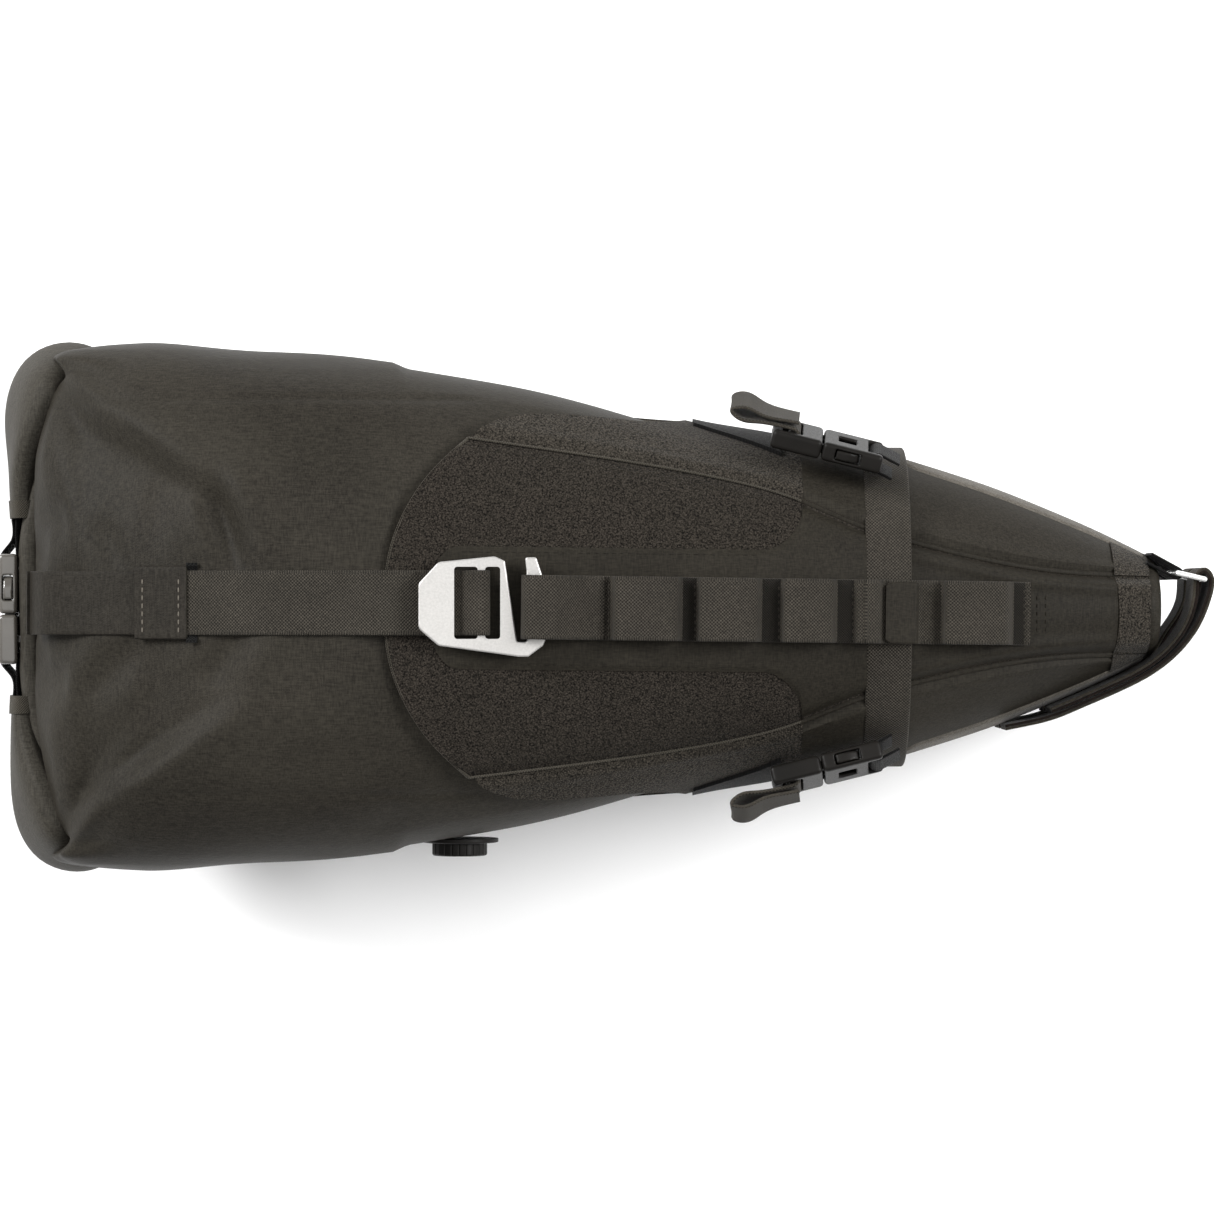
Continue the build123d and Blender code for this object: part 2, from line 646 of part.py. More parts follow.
def hooked_loop_line():
    """First loop: it stands straight up behind the hook's tip bar and closes over it."""
    x = DAISY_X[0] + 0.6
    foot = daisy_base_line(x)
    over = hook_bar_z() + HOOK_THICK / 2 + 1.8
    return [(x, foot), (x + 0.1, foot + 3.4), (x + 1.7, over - 0.4), (x + 6.0, over + 1.0),
            (x + 12.0, over), (x + 20.0, foot + 4.6), (-4.0, daisy_base_line(-4.0) + 1.6),
            (-1.2, daisy_base_line(-1.2) + 0.7)]


def daisy_straight(y_low, y_high, line):
    """Strip of the chain, turned a little in plan."""
    strip = side_strap(line, WEB_THICK, y_low, y_high, samples=40)
    return strip.rotate(Axis((DAISY_X[0], 0, 0), (0, 0, 1)), DAISY_TURN)


def daisy_chain():
    """Webbing sewn down at intervals, so that it stands up in loops between the tacks."""
    y_low, y_high = -12.4, 12.4
    xs = [DAISY_X[0], -16, 0, 16, 32, 48, 64, 80, 94, 102, 110, 117, 124, 134, 150, DAISY_X[1]]
    chain = daisy_straight(y_low, y_high, [(x, daisy_base_line(x)) for x in xs])
    chain = chain + daisy_straight(y_low, y_high, hooked_loop_line())
    for start, end, rise in LOOPS:
        chain = chain + daisy_straight(y_low, y_high, arch_line(start, end, rise))
    return clean(chain)


def daisy_tab():
    """Smooth tab sewn over the crossing of the two straps."""
    line = [(x, daisy_base_line(x) + WEB_THICK + 0.1) for x in (108.0, 112.0, 116.0, 119.5)]
    tab = side_strap(line, 1.0, -12.4, 11.6)
    return tab.rotate(Axis((DAISY_X[0], 0, 0), (0, 0, 1)), DAISY_TURN)


# ---- seatpost straps and rings ----
RING_INNER = (226.0, 13.4)
RING_OUTER = (236.6, 11.0)
RING_WIRE_R = 1.1
POST_STRAP_T = 2.3
POST_STRAPS_Z = {"upper": (68.0, 93.0), "lower": (36.0, 61.0)}


def post_strap(level):
    """Hook-and-loop strap: out from the nose, round the ring and back along the holster."""
    z_low, z_high = POST_STRAPS_Z[level]
    slack = 0.0 if level == "upper" else 1.2
    inner = [(176.0, -41.0), (188.0, -36.0), (198.0, -31.6), (207.0, -27.5), (214.5, -23.2),
             (220.5, -18.6), (226.0 - slack, -12.8 + slack), (231.0 - slack, -4.2),
             (233.2, 4.0), (233.6, 9.6)]
    turn = [(234.4, 13.0), (236.7, 14.7), (239.0, 12.9)]
    outer = [(239.6, 8.0), (238.2, 2.6), (234.8 - slack, -5.8), (228.8 - slack, -14.6 + slack),
             (222.4, -21.0), (214.5, -26.6), (207.0, -30.6), (198.0, -34.7), (188.0, -39.0),
             (176.0, -43.8), (167.0, -46.0), (158.0, -47.8)]
    face = ribbon(inner + turn + outer, POST_STRAP_T, samples=90)
    return prism(face, z_low, z_high)


def post_ring(level):
    """Rectangular wire ring standing on its long side."""
    z_low, z_high = POST_STRAPS_Z[level]
    a, b = Vector(*RING_INNER, z_low - 1.6), Vector(*RING_OUTER, z_low - 1.6)
    up = Vector(0, 0, z_high - z_low + 3.2)
    bars = []
    for start, end in ((a, a + up), (a + up, b + up), (b + up, b), (b, a)):
        along = end - start
        bars.append(Solid.make_cylinder(RING_WIRE_R, along.length, Plane(start, z_dir=along)))
    for corner in (a, a + up, b + up, b):
        bars.append(Solid.make_sphere(RING_WIRE_R).moved(Location(corner)))
    ring_solid = bars[0]
    for bar in bars[1:]:
        ring_solid = ring_solid + bar
    return clean(ring_solid)


def ring_loop(level):
    """Short webbing loop that ties the ring to the left side of the nose."""
    z_low, z_high = POST_STRAPS_Z[level]
    outside, inside = racetrack(RING_INNER, (216.0, 19.4), 1.4, 1.1)
    loop = prism(outside, z_low, z_high) - prism(inside, z_low, z_high)
    loop = loop - block((200, NOSE_X + 0.1), (-30, 16.0), (0, 140))
    return clean(loop - pack_solid(HOLSTER_OUT + 0.1) - nose_panel())


# ---- air valve ----
def valve_plane(y):
    x, z = VALVE_AT
    return Plane(origin=(x, y, z), x_dir=(1, 0, 0), z_dir=(0, -1, 0))


def valve_pocket():
    return Solid.make_cylinder(16.2, 20.0, valve_plane(VALVE_FACE_Y + 0.1))


def valve_base():
    """Flange welded to the bag, with a short threaded neck."""
    flange = Solid.make_cylinder(15.5, 1.6, valve_plane(VALVE_FACE_Y))
    flange = fillet(flange.edges().sort_by(Axis.Y)[0], 0.6)
    neck = Solid.make_cylinder(7.0, 4.4, valve_plane(VALVE_FACE_Y))
    bore = Solid.make_cylinder(5.0, 20.0, valve_plane(VALVE_FACE_Y + 0.6 - 1.4))
    return clean(flange + neck - bore)


def valve_cap():
    """Knurled cap that is turned to open the valve."""
    top = VALVE_FACE_Y - 1.9
    cap = Solid.make_cylinder(11.0, 5.0, valve_plane(top))
    cap = fillet(cap.edges().sort_by(Axis.Y)[0], 0.9)
    hollow = Solid.make_cylinder(7.3, 3.2, valve_plane(top + 0.2))
    cap = cap - hollow
    for i in range(24):
        angle = 2 * pi * i / 24
        x, z = VALVE_AT
        groove = Solid.make_cylinder(0.55, 7.0, Plane(
            origin=(x + 11.2 * cos(angle), top + 1, z + 11.2 * sin(angle)), z_dir=(0, -1, 0)))
        cap = cap - groove
    return clean(cap)


def valve_membrane():
    """Thin rubber disc inside the neck."""
    return Solid.make_cylinder(4.8, 0.9, valve_plane(VALVE_FACE_Y - 1.2))


# ---- dry bag ----
def dry_bag_body():
    """Stuffed bag as one closed solid, flat where it rests."""
    bag = pack_solid(0.0) & block((-260, BAG_FRONT_X), (-130, 130), (0, 200))
    bag = bag - roll_pocket()
    bag = bag - valve_pocket()
    stiffener_room = prism(base_outline(inset=8.0), -5, 40) & block((-79, 151), (-61, 61), (-5, 40))
    room = (pack_solid(0.0) & stiffener_room) - pack_solid(-STIFFENER - 0.2)
    return clean(bag - room)


# ---- write every piece ----
def write(name, shape):
    shape.label = name
    export_step(shape, "parts/" + name + ".step")


def write_buckle(prefix, frame):
    write(prefix + "_buckle_female", frame.location * buckle_female())
    write(prefix + "_buckle_male", frame.location * buckle_male())
    write(prefix + "_latch_arm_a", frame.location * latch_arm(1))
    write(prefix + "_latch_arm_b", frame.location * latch_arm(-1))


def main():
    os.makedirs("parts", exist_ok=True)
    write("dry_bag_body", dry_bag_body())
    write("roll_top", roll_top())
    write("roll_strip", roll_strip())
    write("holster_top_panel", top_panel())
    left, right = side_panels()
    write("holster_side_left", left)
    write("holster_side_right", right)
    write("holster_base_panel", base_panel())
    write("base_stiffener", clean(base_stiffener() & block(*ABOVE_FLOOR)))
    write("nose_panel", nose_panel())
    write("nose_foam", nose_foam())
    write("mouth_binding", mouth_binding())
    write("top_overlay", top_overlay())
    write("cross_strap", cross_strap())
    write("smooth_band", smooth_band())
    write("band_patch", band_patch())
    write("compression_strap", compression_strap())
    write("strap_keeper", strap_keeper())
    write("g_hook", g_hook())
    write("daisy_chain", daisy_chain())
    write("daisy_tab", daisy_tab())
    write_buckle("rear", rear_frame())
    write("roll_webbing_left", roll_webbing(1))
    write("roll_webbing_right", roll_webbing(-1))
    for name, side in (("left", 1), ("right", -1)):
        write_buckle("rail_" + name, rail_frame(side))
        write("rail_anchor_" + name, rail_anchor(side))
        write("rail_tail_" + name, rail_tail(side))
        write("rail_loop_" + name, rail_loop(side))
        write("edge_trim_" + name, edge_trim(side))
    for level in POST_STRAPS_Z:
        write("post_strap_" + level, post_strap(level))
        write("post_ring_" + level, post_ring(level))
        write("ring_loop_" + level, ring_loop(level))
    write("valve_base", valve_base())
    write("valve_cap", valve_cap())
    write("valve_membrane", valve_membrane())


main()
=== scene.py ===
import json
import math

import bmesh
import bpy
import numpy as np
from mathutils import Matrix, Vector


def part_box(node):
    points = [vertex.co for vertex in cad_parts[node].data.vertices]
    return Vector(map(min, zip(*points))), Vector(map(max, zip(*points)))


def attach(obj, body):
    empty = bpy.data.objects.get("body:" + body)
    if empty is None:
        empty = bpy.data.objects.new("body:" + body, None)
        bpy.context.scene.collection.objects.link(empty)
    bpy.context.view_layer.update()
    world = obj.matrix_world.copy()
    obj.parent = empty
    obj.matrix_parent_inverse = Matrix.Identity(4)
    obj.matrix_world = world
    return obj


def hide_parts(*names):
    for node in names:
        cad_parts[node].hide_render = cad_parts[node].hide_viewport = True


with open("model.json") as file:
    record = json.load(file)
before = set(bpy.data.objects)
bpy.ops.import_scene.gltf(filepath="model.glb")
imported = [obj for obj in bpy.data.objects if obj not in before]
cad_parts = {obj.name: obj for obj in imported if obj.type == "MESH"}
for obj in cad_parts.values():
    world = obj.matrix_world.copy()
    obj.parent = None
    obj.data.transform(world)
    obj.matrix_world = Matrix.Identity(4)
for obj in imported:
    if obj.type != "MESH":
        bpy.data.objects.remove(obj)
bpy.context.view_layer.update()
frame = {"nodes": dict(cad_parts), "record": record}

MM = 0.001
WEAVE = "weave"            # mesh attribute: millimetres along and across a strap
SHARP = math.radians(38)

# Stations of the stuffed bag, as in the CAD: x, half width, bottom, top, widest height, squareness.
STATIONS = np.array([
    (-226.0, 84.0, 84.0, 114.0, 99.0, 2.6), (-221.0, 93.0, 62.0, 124.0, 95.0, 2.6),
    (-213.0, 101.0, 38.0, 132.0, 88.0, 2.6), (-203.0, 105.5, 20.0, 138.5, 82.0, 2.6),
    (-188.0, 107.4, 8.0, 145.0, 78.0, 2.7), (-165.0, 106.2, 0.5, 150.0, 76.0, 2.8),
    (-135.0, 103.2, -0.8, 153.0, 75.0, 2.8), (-100.0, 99.5, -0.8, 153.5, 75.0, 2.8),
    (-65.0, 94.2, 2.0, 152.5, 75.0, 2.7), (-30.0, 88.0, 2.0, 151.0, 75.0, 2.6),
    (5.0, 78.8, 2.0, 148.5, 75.0, 2.6), (40.0, 69.4, 2.0, 145.0, 75.0, 2.5),
    (75.0, 65.0, 2.6, 139.8, 74.0, 2.4), (105.0, 59.2, 5.0, 134.0, 73.0, 2.3),
    (130.0, 52.0, 9.0, 128.0, 71.0, 2.2), (155.0, 43.8, 13.0, 121.0, 69.0, 2.2),
    (178.0, 34.7, 17.0, 113.5, 67.0, 2.2), (196.0, 27.0, 21.0, 106.5, 65.0, 2.2),
    (214.5, 18.0, 26.0, 98.0, 63.0, 2.3)])
LOWER_POWER = 3.2
PANEL_OUT = 2.8            # outside of the holster fabric, from the stuffed form
PANEL_IN = 0.4
FRONT_X = 214.5            # front end of the panels
NOSE_X = 219.5
NOSE_Z = 63.0              # middle of the nose
ROLL_Z = 73.5              # middle of the rolled mouth
TONGUE_HALF = 65.8         # half width of the top panel at its widest
TONGUE_X = -54.0
SPLIT_X = 76.0             # where the coarse rear fabric meets the smooth front
PATCH_X = 200.0            # rear edge of the nose patch
WEB_HALF = 12.5            # half width of wide webbing, and of narrow
NARROW_HALF = 10.0
SIDES = ((1, "left"), (-1, "right"))
UP = np.array([0.0, 0.0, 1.0])


# ---- smooth lines and the stuffed form ----
class Curve:
    """Natural cubic line through values at given parameters."""

    def __init__(self, ts, values):
        self.t, self.v = np.asarray(ts, float), np.asarray(values, float)
        n, self.h = len(self.t), np.diff(self.t)
        a, b = np.eye(n), np.zeros_like(self.v)
        for i in range(1, n - 1):
            a[i, i - 1:i + 2] = self.h[i - 1], 2 * (self.h[i - 1] + self.h[i]), self.h[i]
            b[i] = 6 * ((self.v[i + 1] - self.v[i]) / self.h[i]
                        - (self.v[i] - self.v[i - 1]) / self.h[i - 1])
        self.m = np.linalg.solve(a, b)

    def __call__(self, t):
        t = np.clip(np.asarray(t, float), self.t[0], self.t[-1])
        i = np.clip(np.searchsorted(self.t, t) - 1, 0, len(self.h) - 1)
        h = self.h[i]
        a, b = (self.t[i + 1] - t) / h, (t - self.t[i]) / h
        c, d = (a**3 - a) * h * h / 6, (b**3 - b) * h * h / 6
        if self.v.ndim > 1:
            a, b, c, d = (k[..., None] for k in (a, b, c, d))
        return a * self.v[i] + b * self.v[i + 1] + c * self.m[i] + d * self.m[i + 1]


def travelled(points):
    """Distance along a polyline at each of its points."""
    return np.concatenate([[0], np.cumsum(np.linalg.norm(np.diff(points, axis=0), axis=1))])


def path_through(points, count):
    """Points evenly spaced along a smooth line through the given ones."""
    p = np.asarray(points, float)
    t = travelled(p)
    fine = Curve(t, p)(np.linspace(0, t[-1], 40 * len(p)))
    return evenly(fine, count)


def evenly(points, count):
    """Resamples a polyline at even distances."""
    s = travelled(points)
    at = np.linspace(0, s[-1], count)
    return np.stack([np.interp(at, s, points[:, k]) for k in range(points.shape[1])], 1)


FORM = Curve(STATIONS[:, 0], STATIONS[:, 1:])


def form_at(x):
    return np.moveaxis(FORM(x), -1, 0)


SINK = Curve([-227, -221, -210, -196, -180, -160, -142, -128], [0.4, 3.0, 7.6, 10.0, 9.6, 6.6, 2.8, 0.0])


def sink(x, y):
    """How far the stuffed bag slopes down to the roll between its two corner ridges."""
    x, y = np.broadcast_arrays(np.asarray(x, float), np.asarray(y, float))
    half = 34.0 + np.clip(-136.0 - x, -12, 90) * 0.66
    inside = half - np.abs(y - 1.0)
    return np.where(x < -128, SINK(x), 0.0) * fade(inside, -7.0, 8.0)


def top_z(x, y, grow=0.0):
    """Height of the upper surface, grown outwards, over plan points."""
    half, _, top, waist, power = form_at(x)
    share = np.clip(np.abs(y) / (half + grow), 0, 1)
    return waist + (top - waist + grow) * (1 - share**power) ** (1 / power) - sink(x, y)


def low_z(x, y, grow=0.0):
    """Height of the lower surface, flat where it rests on the floor."""
    half, bottom, _, waist, _ = form_at(x)
    share = np.clip(np.abs(y) / (half + grow), 0, 1)
    z = waist - (waist - bottom + grow) * (1 - share**LOWER_POWER) ** (1 / LOWER_POWER)
    return on_floor(z, grow)


def quarter(x, upper, grow):
    """Half width, rise from the widest line, its height and the squareness of one section quarter."""
    half, bottom, top, waist, power = form_at(x)
    rise = np.where(upper, top - waist, waist - bottom) + grow
    return half + grow, rise, waist, np.where(upper, power, LOWER_POWER)


def above_waist(x, z):
    return z >= form_at(x)[3]


def on_floor(z, grow):
    """Keeps layers just above the floor, in their order."""
    return np.maximum(z, 0.15 + 0.35 * (PANEL_OUT - grow))


def side_y(x, z, grow=0.0):
    """Half width of the form at a height."""
    half, rise, waist, power = quarter(x, above_waist(x, z), grow)
    share = np.clip(np.abs(z - waist) / rise, 0, 1)
    return half * (1 - share**power) ** (1 / power)


def ring(x, grow, start, end, count):
    """Points of the left half of one section, between two angles (90 is the top), evenly spaced."""
    a = np.radians(np.linspace(start, end, 160))
    half, rise, waist, power = quarter(x, a >= 0, grow)
    y = half * np.abs(np.cos(a)) ** (2 / power)
    z = waist + np.sign(a) * rise * np.abs(np.sin(a)) ** (2 / power)
    return evenly(np.stack([np.full_like(a, x), y, on_floor(z, grow)], 1), count)


def drift(x):
    """The top panel sits slightly right of the middle, more so at the front."""
    return -0.9 - 0.011 * x


def fade(x, low, high):
    """Smooth step from 0 at low to 1 at high."""
    t = np.clip((x - low) / (high - low), 0, 1)
    return t * t * (3 - 2 * t)


def bump(x, y, cx, cy, rx, ry, turn=0.0):
    """Round-topped patch of height 1 in plan."""
    c, s = math.cos(math.radians(turn)), math.sin(math.radians(turn))
    u, v = (x - cx) * c + (y - cy) * s, -(x - cx) * s + (y - cy) * c
    return np.exp(-((u / rx) ** 2 + (v / ry) ** 2))


# ---- mesh builders ----
def placed(name, data):
    """New object in the scene."""
    obj = bpy.data.objects.new(name, data)
    bpy.context.scene.collection.objects.link(obj)
    return obj


def mesh_object(name, verts, faces, weave=None):
    """Smooth-shaded object from points in millimetres, its tight corners kept sharp."""
    mesh = bpy.data.meshes.new(name)
    mesh.from_pydata((np.asarray(verts) * MM).tolist(), [], [list(map(int, f)) for f in faces])
    if weave is not None:
        field = mesh.attributes.new(WEAVE, "FLOAT_VECTOR", "POINT")
        field.data.foreach_set("vector", np.asarray(weave, np.float32).ravel())
    obj = placed(name, mesh)
    finish_shading(obj)
    return obj


def box_of(node):
    """Lower and upper corner of a CAD node in millimetres."""
    return np.array(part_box(node)) / MM


def finish_shading(obj, angle=SHARP):
    bm = bmesh.new()
    bm.from_mesh(obj.data)
    bmesh.ops.recalc_face_normals(bm, faces=bm.faces)
    for f in bm.faces:
        f.smooth = True
    for e in bm.edges:
        e.smooth = len(e.link_faces) != 2 or e.calc_face_angle() < angle
    bm.to_mesh(obj.data)
    bm.free()


def quads(rows, cols, offset=0, wrap=False):
    """Faces of a grid of points, the columns optionally joined into rings."""
    i, j = np.meshgrid(np.arange(rows - 1), np.arange(cols if wrap else cols - 1), indexing="ij")
    k = (j + 1) % cols
    return np.stack([i * cols + j, (i + 1) * cols + j, (i + 1) * cols + k, i * cols + k],
                    -1).reshape(-1, 4) + offset


def distances(grid):
    """Distance along and across a grid of points."""
    along = np.linalg.norm(np.diff(grid, axis=0), axis=-1).mean(1)
    across = np.linalg.norm(np.diff(grid, axis=1), axis=-1).mean(0)
    u = np.concatenate([[0], np.cumsum(along)])
    v = np.concatenate([[0], np.cumsum(across)])
    v = v - v[-1] / 2
    return np.stack(np.broadcast_arrays(u[:, None], v[None, :], 0.0), -1)


def with_ends(weave):
    return np.concatenate([weave.reshape(-1, 3), np.zeros((2, 3))])


def slab(name, outer, inner):
    """Closed sheet between two grids of the same shape, joined round the rim."""
    rows, cols = outer.shape[:2]
    n = rows * cols
    faces = [quads(rows, cols), quads(rows, cols, n)[:, ::-1]]
    index = np.arange(n).reshape(rows, cols)
    rim = np.concatenate([index[:, 0], index[-1, 1:], index[-2::-1, -1], index[0, -2:0:-1]])
    after = np.roll(rim, -1)
    faces.append(np.stack([rim, after, after + n, rim + n], -1))
    weave = distances(outer).reshape(-1, 3)
    verts = np.concatenate([outer.reshape(-1, 3), inner.reshape(-1, 3)])
    return mesh_object(name, verts, np.concatenate(faces), np.concatenate([weave, weave]))


def grid_normals(grid):
    du, dv = np.gradient(grid, axis=0), np.gradient(grid, axis=1)
    n = np.cross(du, dv)
    return n / np.maximum(np.linalg.norm(n, axis=-1, keepdims=True), 1e-9)


def section(half, thick, columns=12):
    """Rounded outline of a strap: across and up."""
    r = thick / 2
    flat = np.linspace(-half + r, half - r, columns)
    turn = np.radians([60, 30, 0, -30, -60])
    right = np.stack([half - r + r * np.cos(turn), r * np.sin(turn)], 1)
    top = np.stack([flat, np.full(columns, r)], 1)
    left = np.stack([-half + r - r * np.cos(turn[::-1]), r * np.sin(turn[::-1])], 1)
    return np.concatenate([top, right, (top * (1, -1))[::-1], left])


def tangents(line):
    t = np.gradient(line, axis=0)
    return t / np.linalg.norm(t, axis=1, keepdims=True)


def closed_sweep(name, body, ends, weave):
    """Rings of points joined into a skin, with a fan to one more point at each end."""
    rows, cols = body.shape[:2]
    k = np.arange(cols)
    after = (k + 1) % cols
    last = (rows - 1) * cols
    fans = [np.stack([after, k, np.full(cols, rows * cols)], 1),
            np.stack([last + k, last + after, np.full(cols, rows * cols + 1)], 1)]
    faces = [f for part in (quads(rows, cols, wrap=True), *fans) for f in part]
    return mesh_object(name, np.concatenate([body.reshape(-1, 3), ends]), faces, weave)


def strap(name, line, across, half, thick, conform=False, columns=12, taper=None):
    """Webbing swept along a line; across is its width direction, one or one per point."""
    line = np.asarray(line, float)
    across = np.broadcast_to(np.asarray(across, float), line.shape)
    tangent = tangents(line)
    side = across - tangent * np.sum(across * tangent, 1, keepdims=True)
    side /= np.linalg.norm(side, axis=1, keepdims=True)
    up = np.cross(tangent, side)
    outline = section(half, thick, columns)
    wide = np.ones(len(line)) if taper is None else taper
    body = (line[:, None] + side[:, None] * (outline[None, :, :1] * wide[:, None, None])
            + up[:, None] * outline[None, :, 1:])
    if conform:
        centre = top_z(line[:, 0], line[:, 1])[:, None]
        body[..., 2] += np.minimum(top_z(body[..., 0], body[..., 1]) - centre, 0)
    along = travelled(line)
    weave = np.stack(np.broadcast_arrays(along[:, None], outline[None, :, 0],
                                         np.sign(outline[None, :, 1])), -1)
    ends = body[[0, -1]].mean(1) if conform else line[[0, -1]]
    weave = np.concatenate([weave.reshape(-1, 3), [(0, 0, 0), (along[-1], 0, 0)]])
    return closed_sweep(name, body, ends, weave)


def tube_form(name, centres, rights, ups, radii, power=2.0, columns=40, grooves=None):
    """Closed soft form swept through centres; radii are the half sizes along right and up."""
    a = np.linspace(0, 2 * math.pi, columns, endpoint=False)
    c = np.sign(np.cos(a)) * np.abs(np.cos(a)) ** (2 / power)
    s = np.sign(np.sin(a)) * np.abs(np.sin(a)) ** (2 / power)
    scale = np.ones((len(centres), columns)) if grooves is None else grooves(a)
    body = (centres[:, None] + rights[:, None] * (radii[:, None, :1] * c[None, :, None])
            * scale[..., None] + ups[:, None] * (radii[:, None, 1:] * s[None, :, None]))
    return closed_sweep(name, body, centres[[0, -1]], with_ends(distances(body)))


def stitches(name, runs, length=2.2, gap=1.3, radius=0.32):
    """Thread stitches along lines; each run is (line, outward direction at each point)."""
    verts, faces = [], []
    turn = np.linspace(0, 2 * math.pi, 6, endpoint=False)[:, None]
    count = len(turn)
    profile = [(-0.5, 0.35, -0.5), (-0.36, 0.9, 0.1), (0.0, 1.0, 0.45), (0.36, 0.9, 0.1), (0.5, 0.35, -0.5)]
    for line, out in runs:
        line = np.asarray(line, float)
        out = np.broadcast_to(np.asarray(out, float), line.shape)
        s = travelled(line)
        for at in np.arange(length / 2, s[-1] - length / 2, length + gap):
            p, q, n = (np.array([np.interp(where, s, field[:, k]) for k in range(3)])
                       for where, field in ((at, line), (at + 0.5, line), (at, out)))
            t = (q - p) / max(np.linalg.norm(q - p), 1e-9)
            n = n - t * np.dot(n, t)
            n /= max(np.linalg.norm(n), 1e-9)
            spokes = n * np.sin(turn) + np.cross(t, n) * np.cos(turn)
            first = len(verts)
            for along, wide, lift in profile:
                verts += list(p + t * along * length + (n * lift + spokes * wide) * radius)
            faces += list(quads(len(profile), count, first, wrap=True))
            faces.append(range(first + count - 1, first - 1, -1))
            faces.append(range(len(verts) - count, len(verts)))
    return mesh_object(name, verts, faces)


# ---- materials ----
def linear(*srgb):
    """Scene colour from 8-bit display values."""
    c = [v / 255 for v in srgb]
    return tuple(v / 12.92 if v <= 0.04045 else ((v + 0.055) / 1.055) ** 2.4 for v in c) + (1.0,)


class Nodes:
    """Short spelling for building one node material."""

    def __init__(self, name):
        self.material = bpy.data.materials.new(name)
        self.material.use_nodes = True
        self.tree = self.material.node_tree
        self.tree.nodes.clear()
        self.shader = self.add("ShaderNodeBsdfPrincipled")
        out = self.add("ShaderNodeOutputMaterial")
        self.link(self.shader.outputs[0], out.inputs["Surface"])

    def add(self, kind, **settings):
        node = self.tree.nodes.new(kind)
        for key, value in settings.items():
            if hasattr(node, key):
                setattr(node, key, value)
            else:
                node.inputs[key.replace("_", " ")].default_value = value
        return node

    def link(self, source, target):
        self.tree.links.new(source, target)

    def put(self, node, *values):
        """Gives a node's first inputs plain values, or links them to other outputs."""
        for slot, value in zip(node.inputs, values):
            if isinstance(value, (int, float)):
                slot.default_value = value
            else:
                self.link(value, slot)
        return node.outputs[0]

    def fed(self, vector, kind, **settings):
        """Outputs of a new node that reads a vector."""
        node = self.add(kind, **settings)
        self.link(vector, node.inputs["Vector"])
        return node.outputs

    def set(self, **values):
        for key, value in values.items():
            self.shader.inputs[key.replace("_", " ")].default_value = value

    def space(self):
        return self.add("ShaderNodeTexCoord").outputs["Object"]

    def scaled(self, vector, scale):
        return self.fed(vector, "ShaderNodeMapping", Scale=scale)[0]

    def noise(self, vector, scale, detail=3.0, roughness=0.55):
        return self.fed(vector, "ShaderNodeTexNoise", Scale=scale, Detail=detail, Roughness=roughness)[0]

    def cells(self, vector, scale):
        return self.fed(vector, "ShaderNodeTexVoronoi", feature="F1", Scale=scale)["Distance"]

    def split(self, vector):
        return self.fed(vector, "ShaderNodeSeparateXYZ")

    def math(self, kind, *values):
        return self.put(self.add("ShaderNodeMath", operation=kind), *values)

    def span(self, value, low, high, to_low, to_high):
        return self.put(self.add("ShaderNodeMapRange"), value, low, high, to_low, to_high)

    def weave(self):
        """Millimetres along, across, and which face, from the strap's own attribute."""
        return self.split(self.add("ShaderNodeAttribute", attribute_name=WEAVE).outputs["Vector"])

    def colour(self, share, dark, light):
        """Base colour between two scene colours."""
        node = self.add("ShaderNodeMix", data_type="RGBA")
        self.link(share, node.inputs[0])
        node.inputs[6].default_value = dark
        node.inputs[7].default_value = light
        self.link(node.outputs[2], self.shader.inputs["Base Color"])

    def rough(self, value):
        self.link(value, self.shader.inputs["Roughness"])

    def relief(self, layers):
        """Bump from (height, distance in mm, strength) layers."""
        below = None
        for height, distance, strength in layers:
            node = self.add("ShaderNodeBump", Strength=strength, Distance=distance * MM)
            self.link(height, node.inputs["Height"])
            if below is not None:
                self.link(below, node.inputs["Normal"])
            below = node.outputs[0]
        self.link(below, self.shader.inputs["Normal"])


def thread_grid(m, u, v, pitch_u, pitch_v):
    """Over-and-under weave: rounded thread crossings, alternating high and low."""
    a = m.math("SINE", m.math("MULTIPLY", u, math.pi / pitch_u))
    b = m.math("SINE", m.math("MULTIPLY", v, math.pi / pitch_v))
    cross = m.math("MULTIPLY", a, b)
    return m.span(cross, -1, 1, 0, 1)


def coated_fabric(name, dark, light, rough, thread=0.55, relief=0.05):
    """Coated nylon: a faint woven ground under a smooth coat."""
    m = Nodes(name)
    p = m.space()
    x, y, z = m.split(m.scaled(p, (1000, 1000, 1000)))
    warp = m.noise(m.scaled(p, (240, 2000, 2000)), 1.0, 1.0)
    weft = m.noise(m.scaled(p, (2000, 240, 2000)), 1.0, 1.0)
    slubs = m.math("ADD", warp, weft)
    broad = m.noise(p, 14.0, 4.0)
    fine = thread_grid(m, x, m.math("ADD", y, z), thread, thread)
    skin = m.noise(p, 520.0, 4.0, 0.6)
    share = m.math("ADD", m.span(slubs, 0.7, 1.3, 0.0, 0.6), m.span(broad, 0.35, 0.65, 0.0, 0.25))
    share = m.math("ADD", share, m.span(skin, 0.3, 0.7, 0.0, 0.15))
    m.colour(share, linear(*dark), linear(*light))
    m.rough(m.span(broad, 0.3, 0.7, rough - 0.05, rough + 0.06))
    m.set(Specular_IOR_Level=0.06)
    m.relief([(m.noise(p, 90.0, 3.0), 0.5, 0.10), (skin, 0.2, 0.6), (slubs, relief * 2, 0.6),
              (fine, relief, 0.5)])
    return m.material


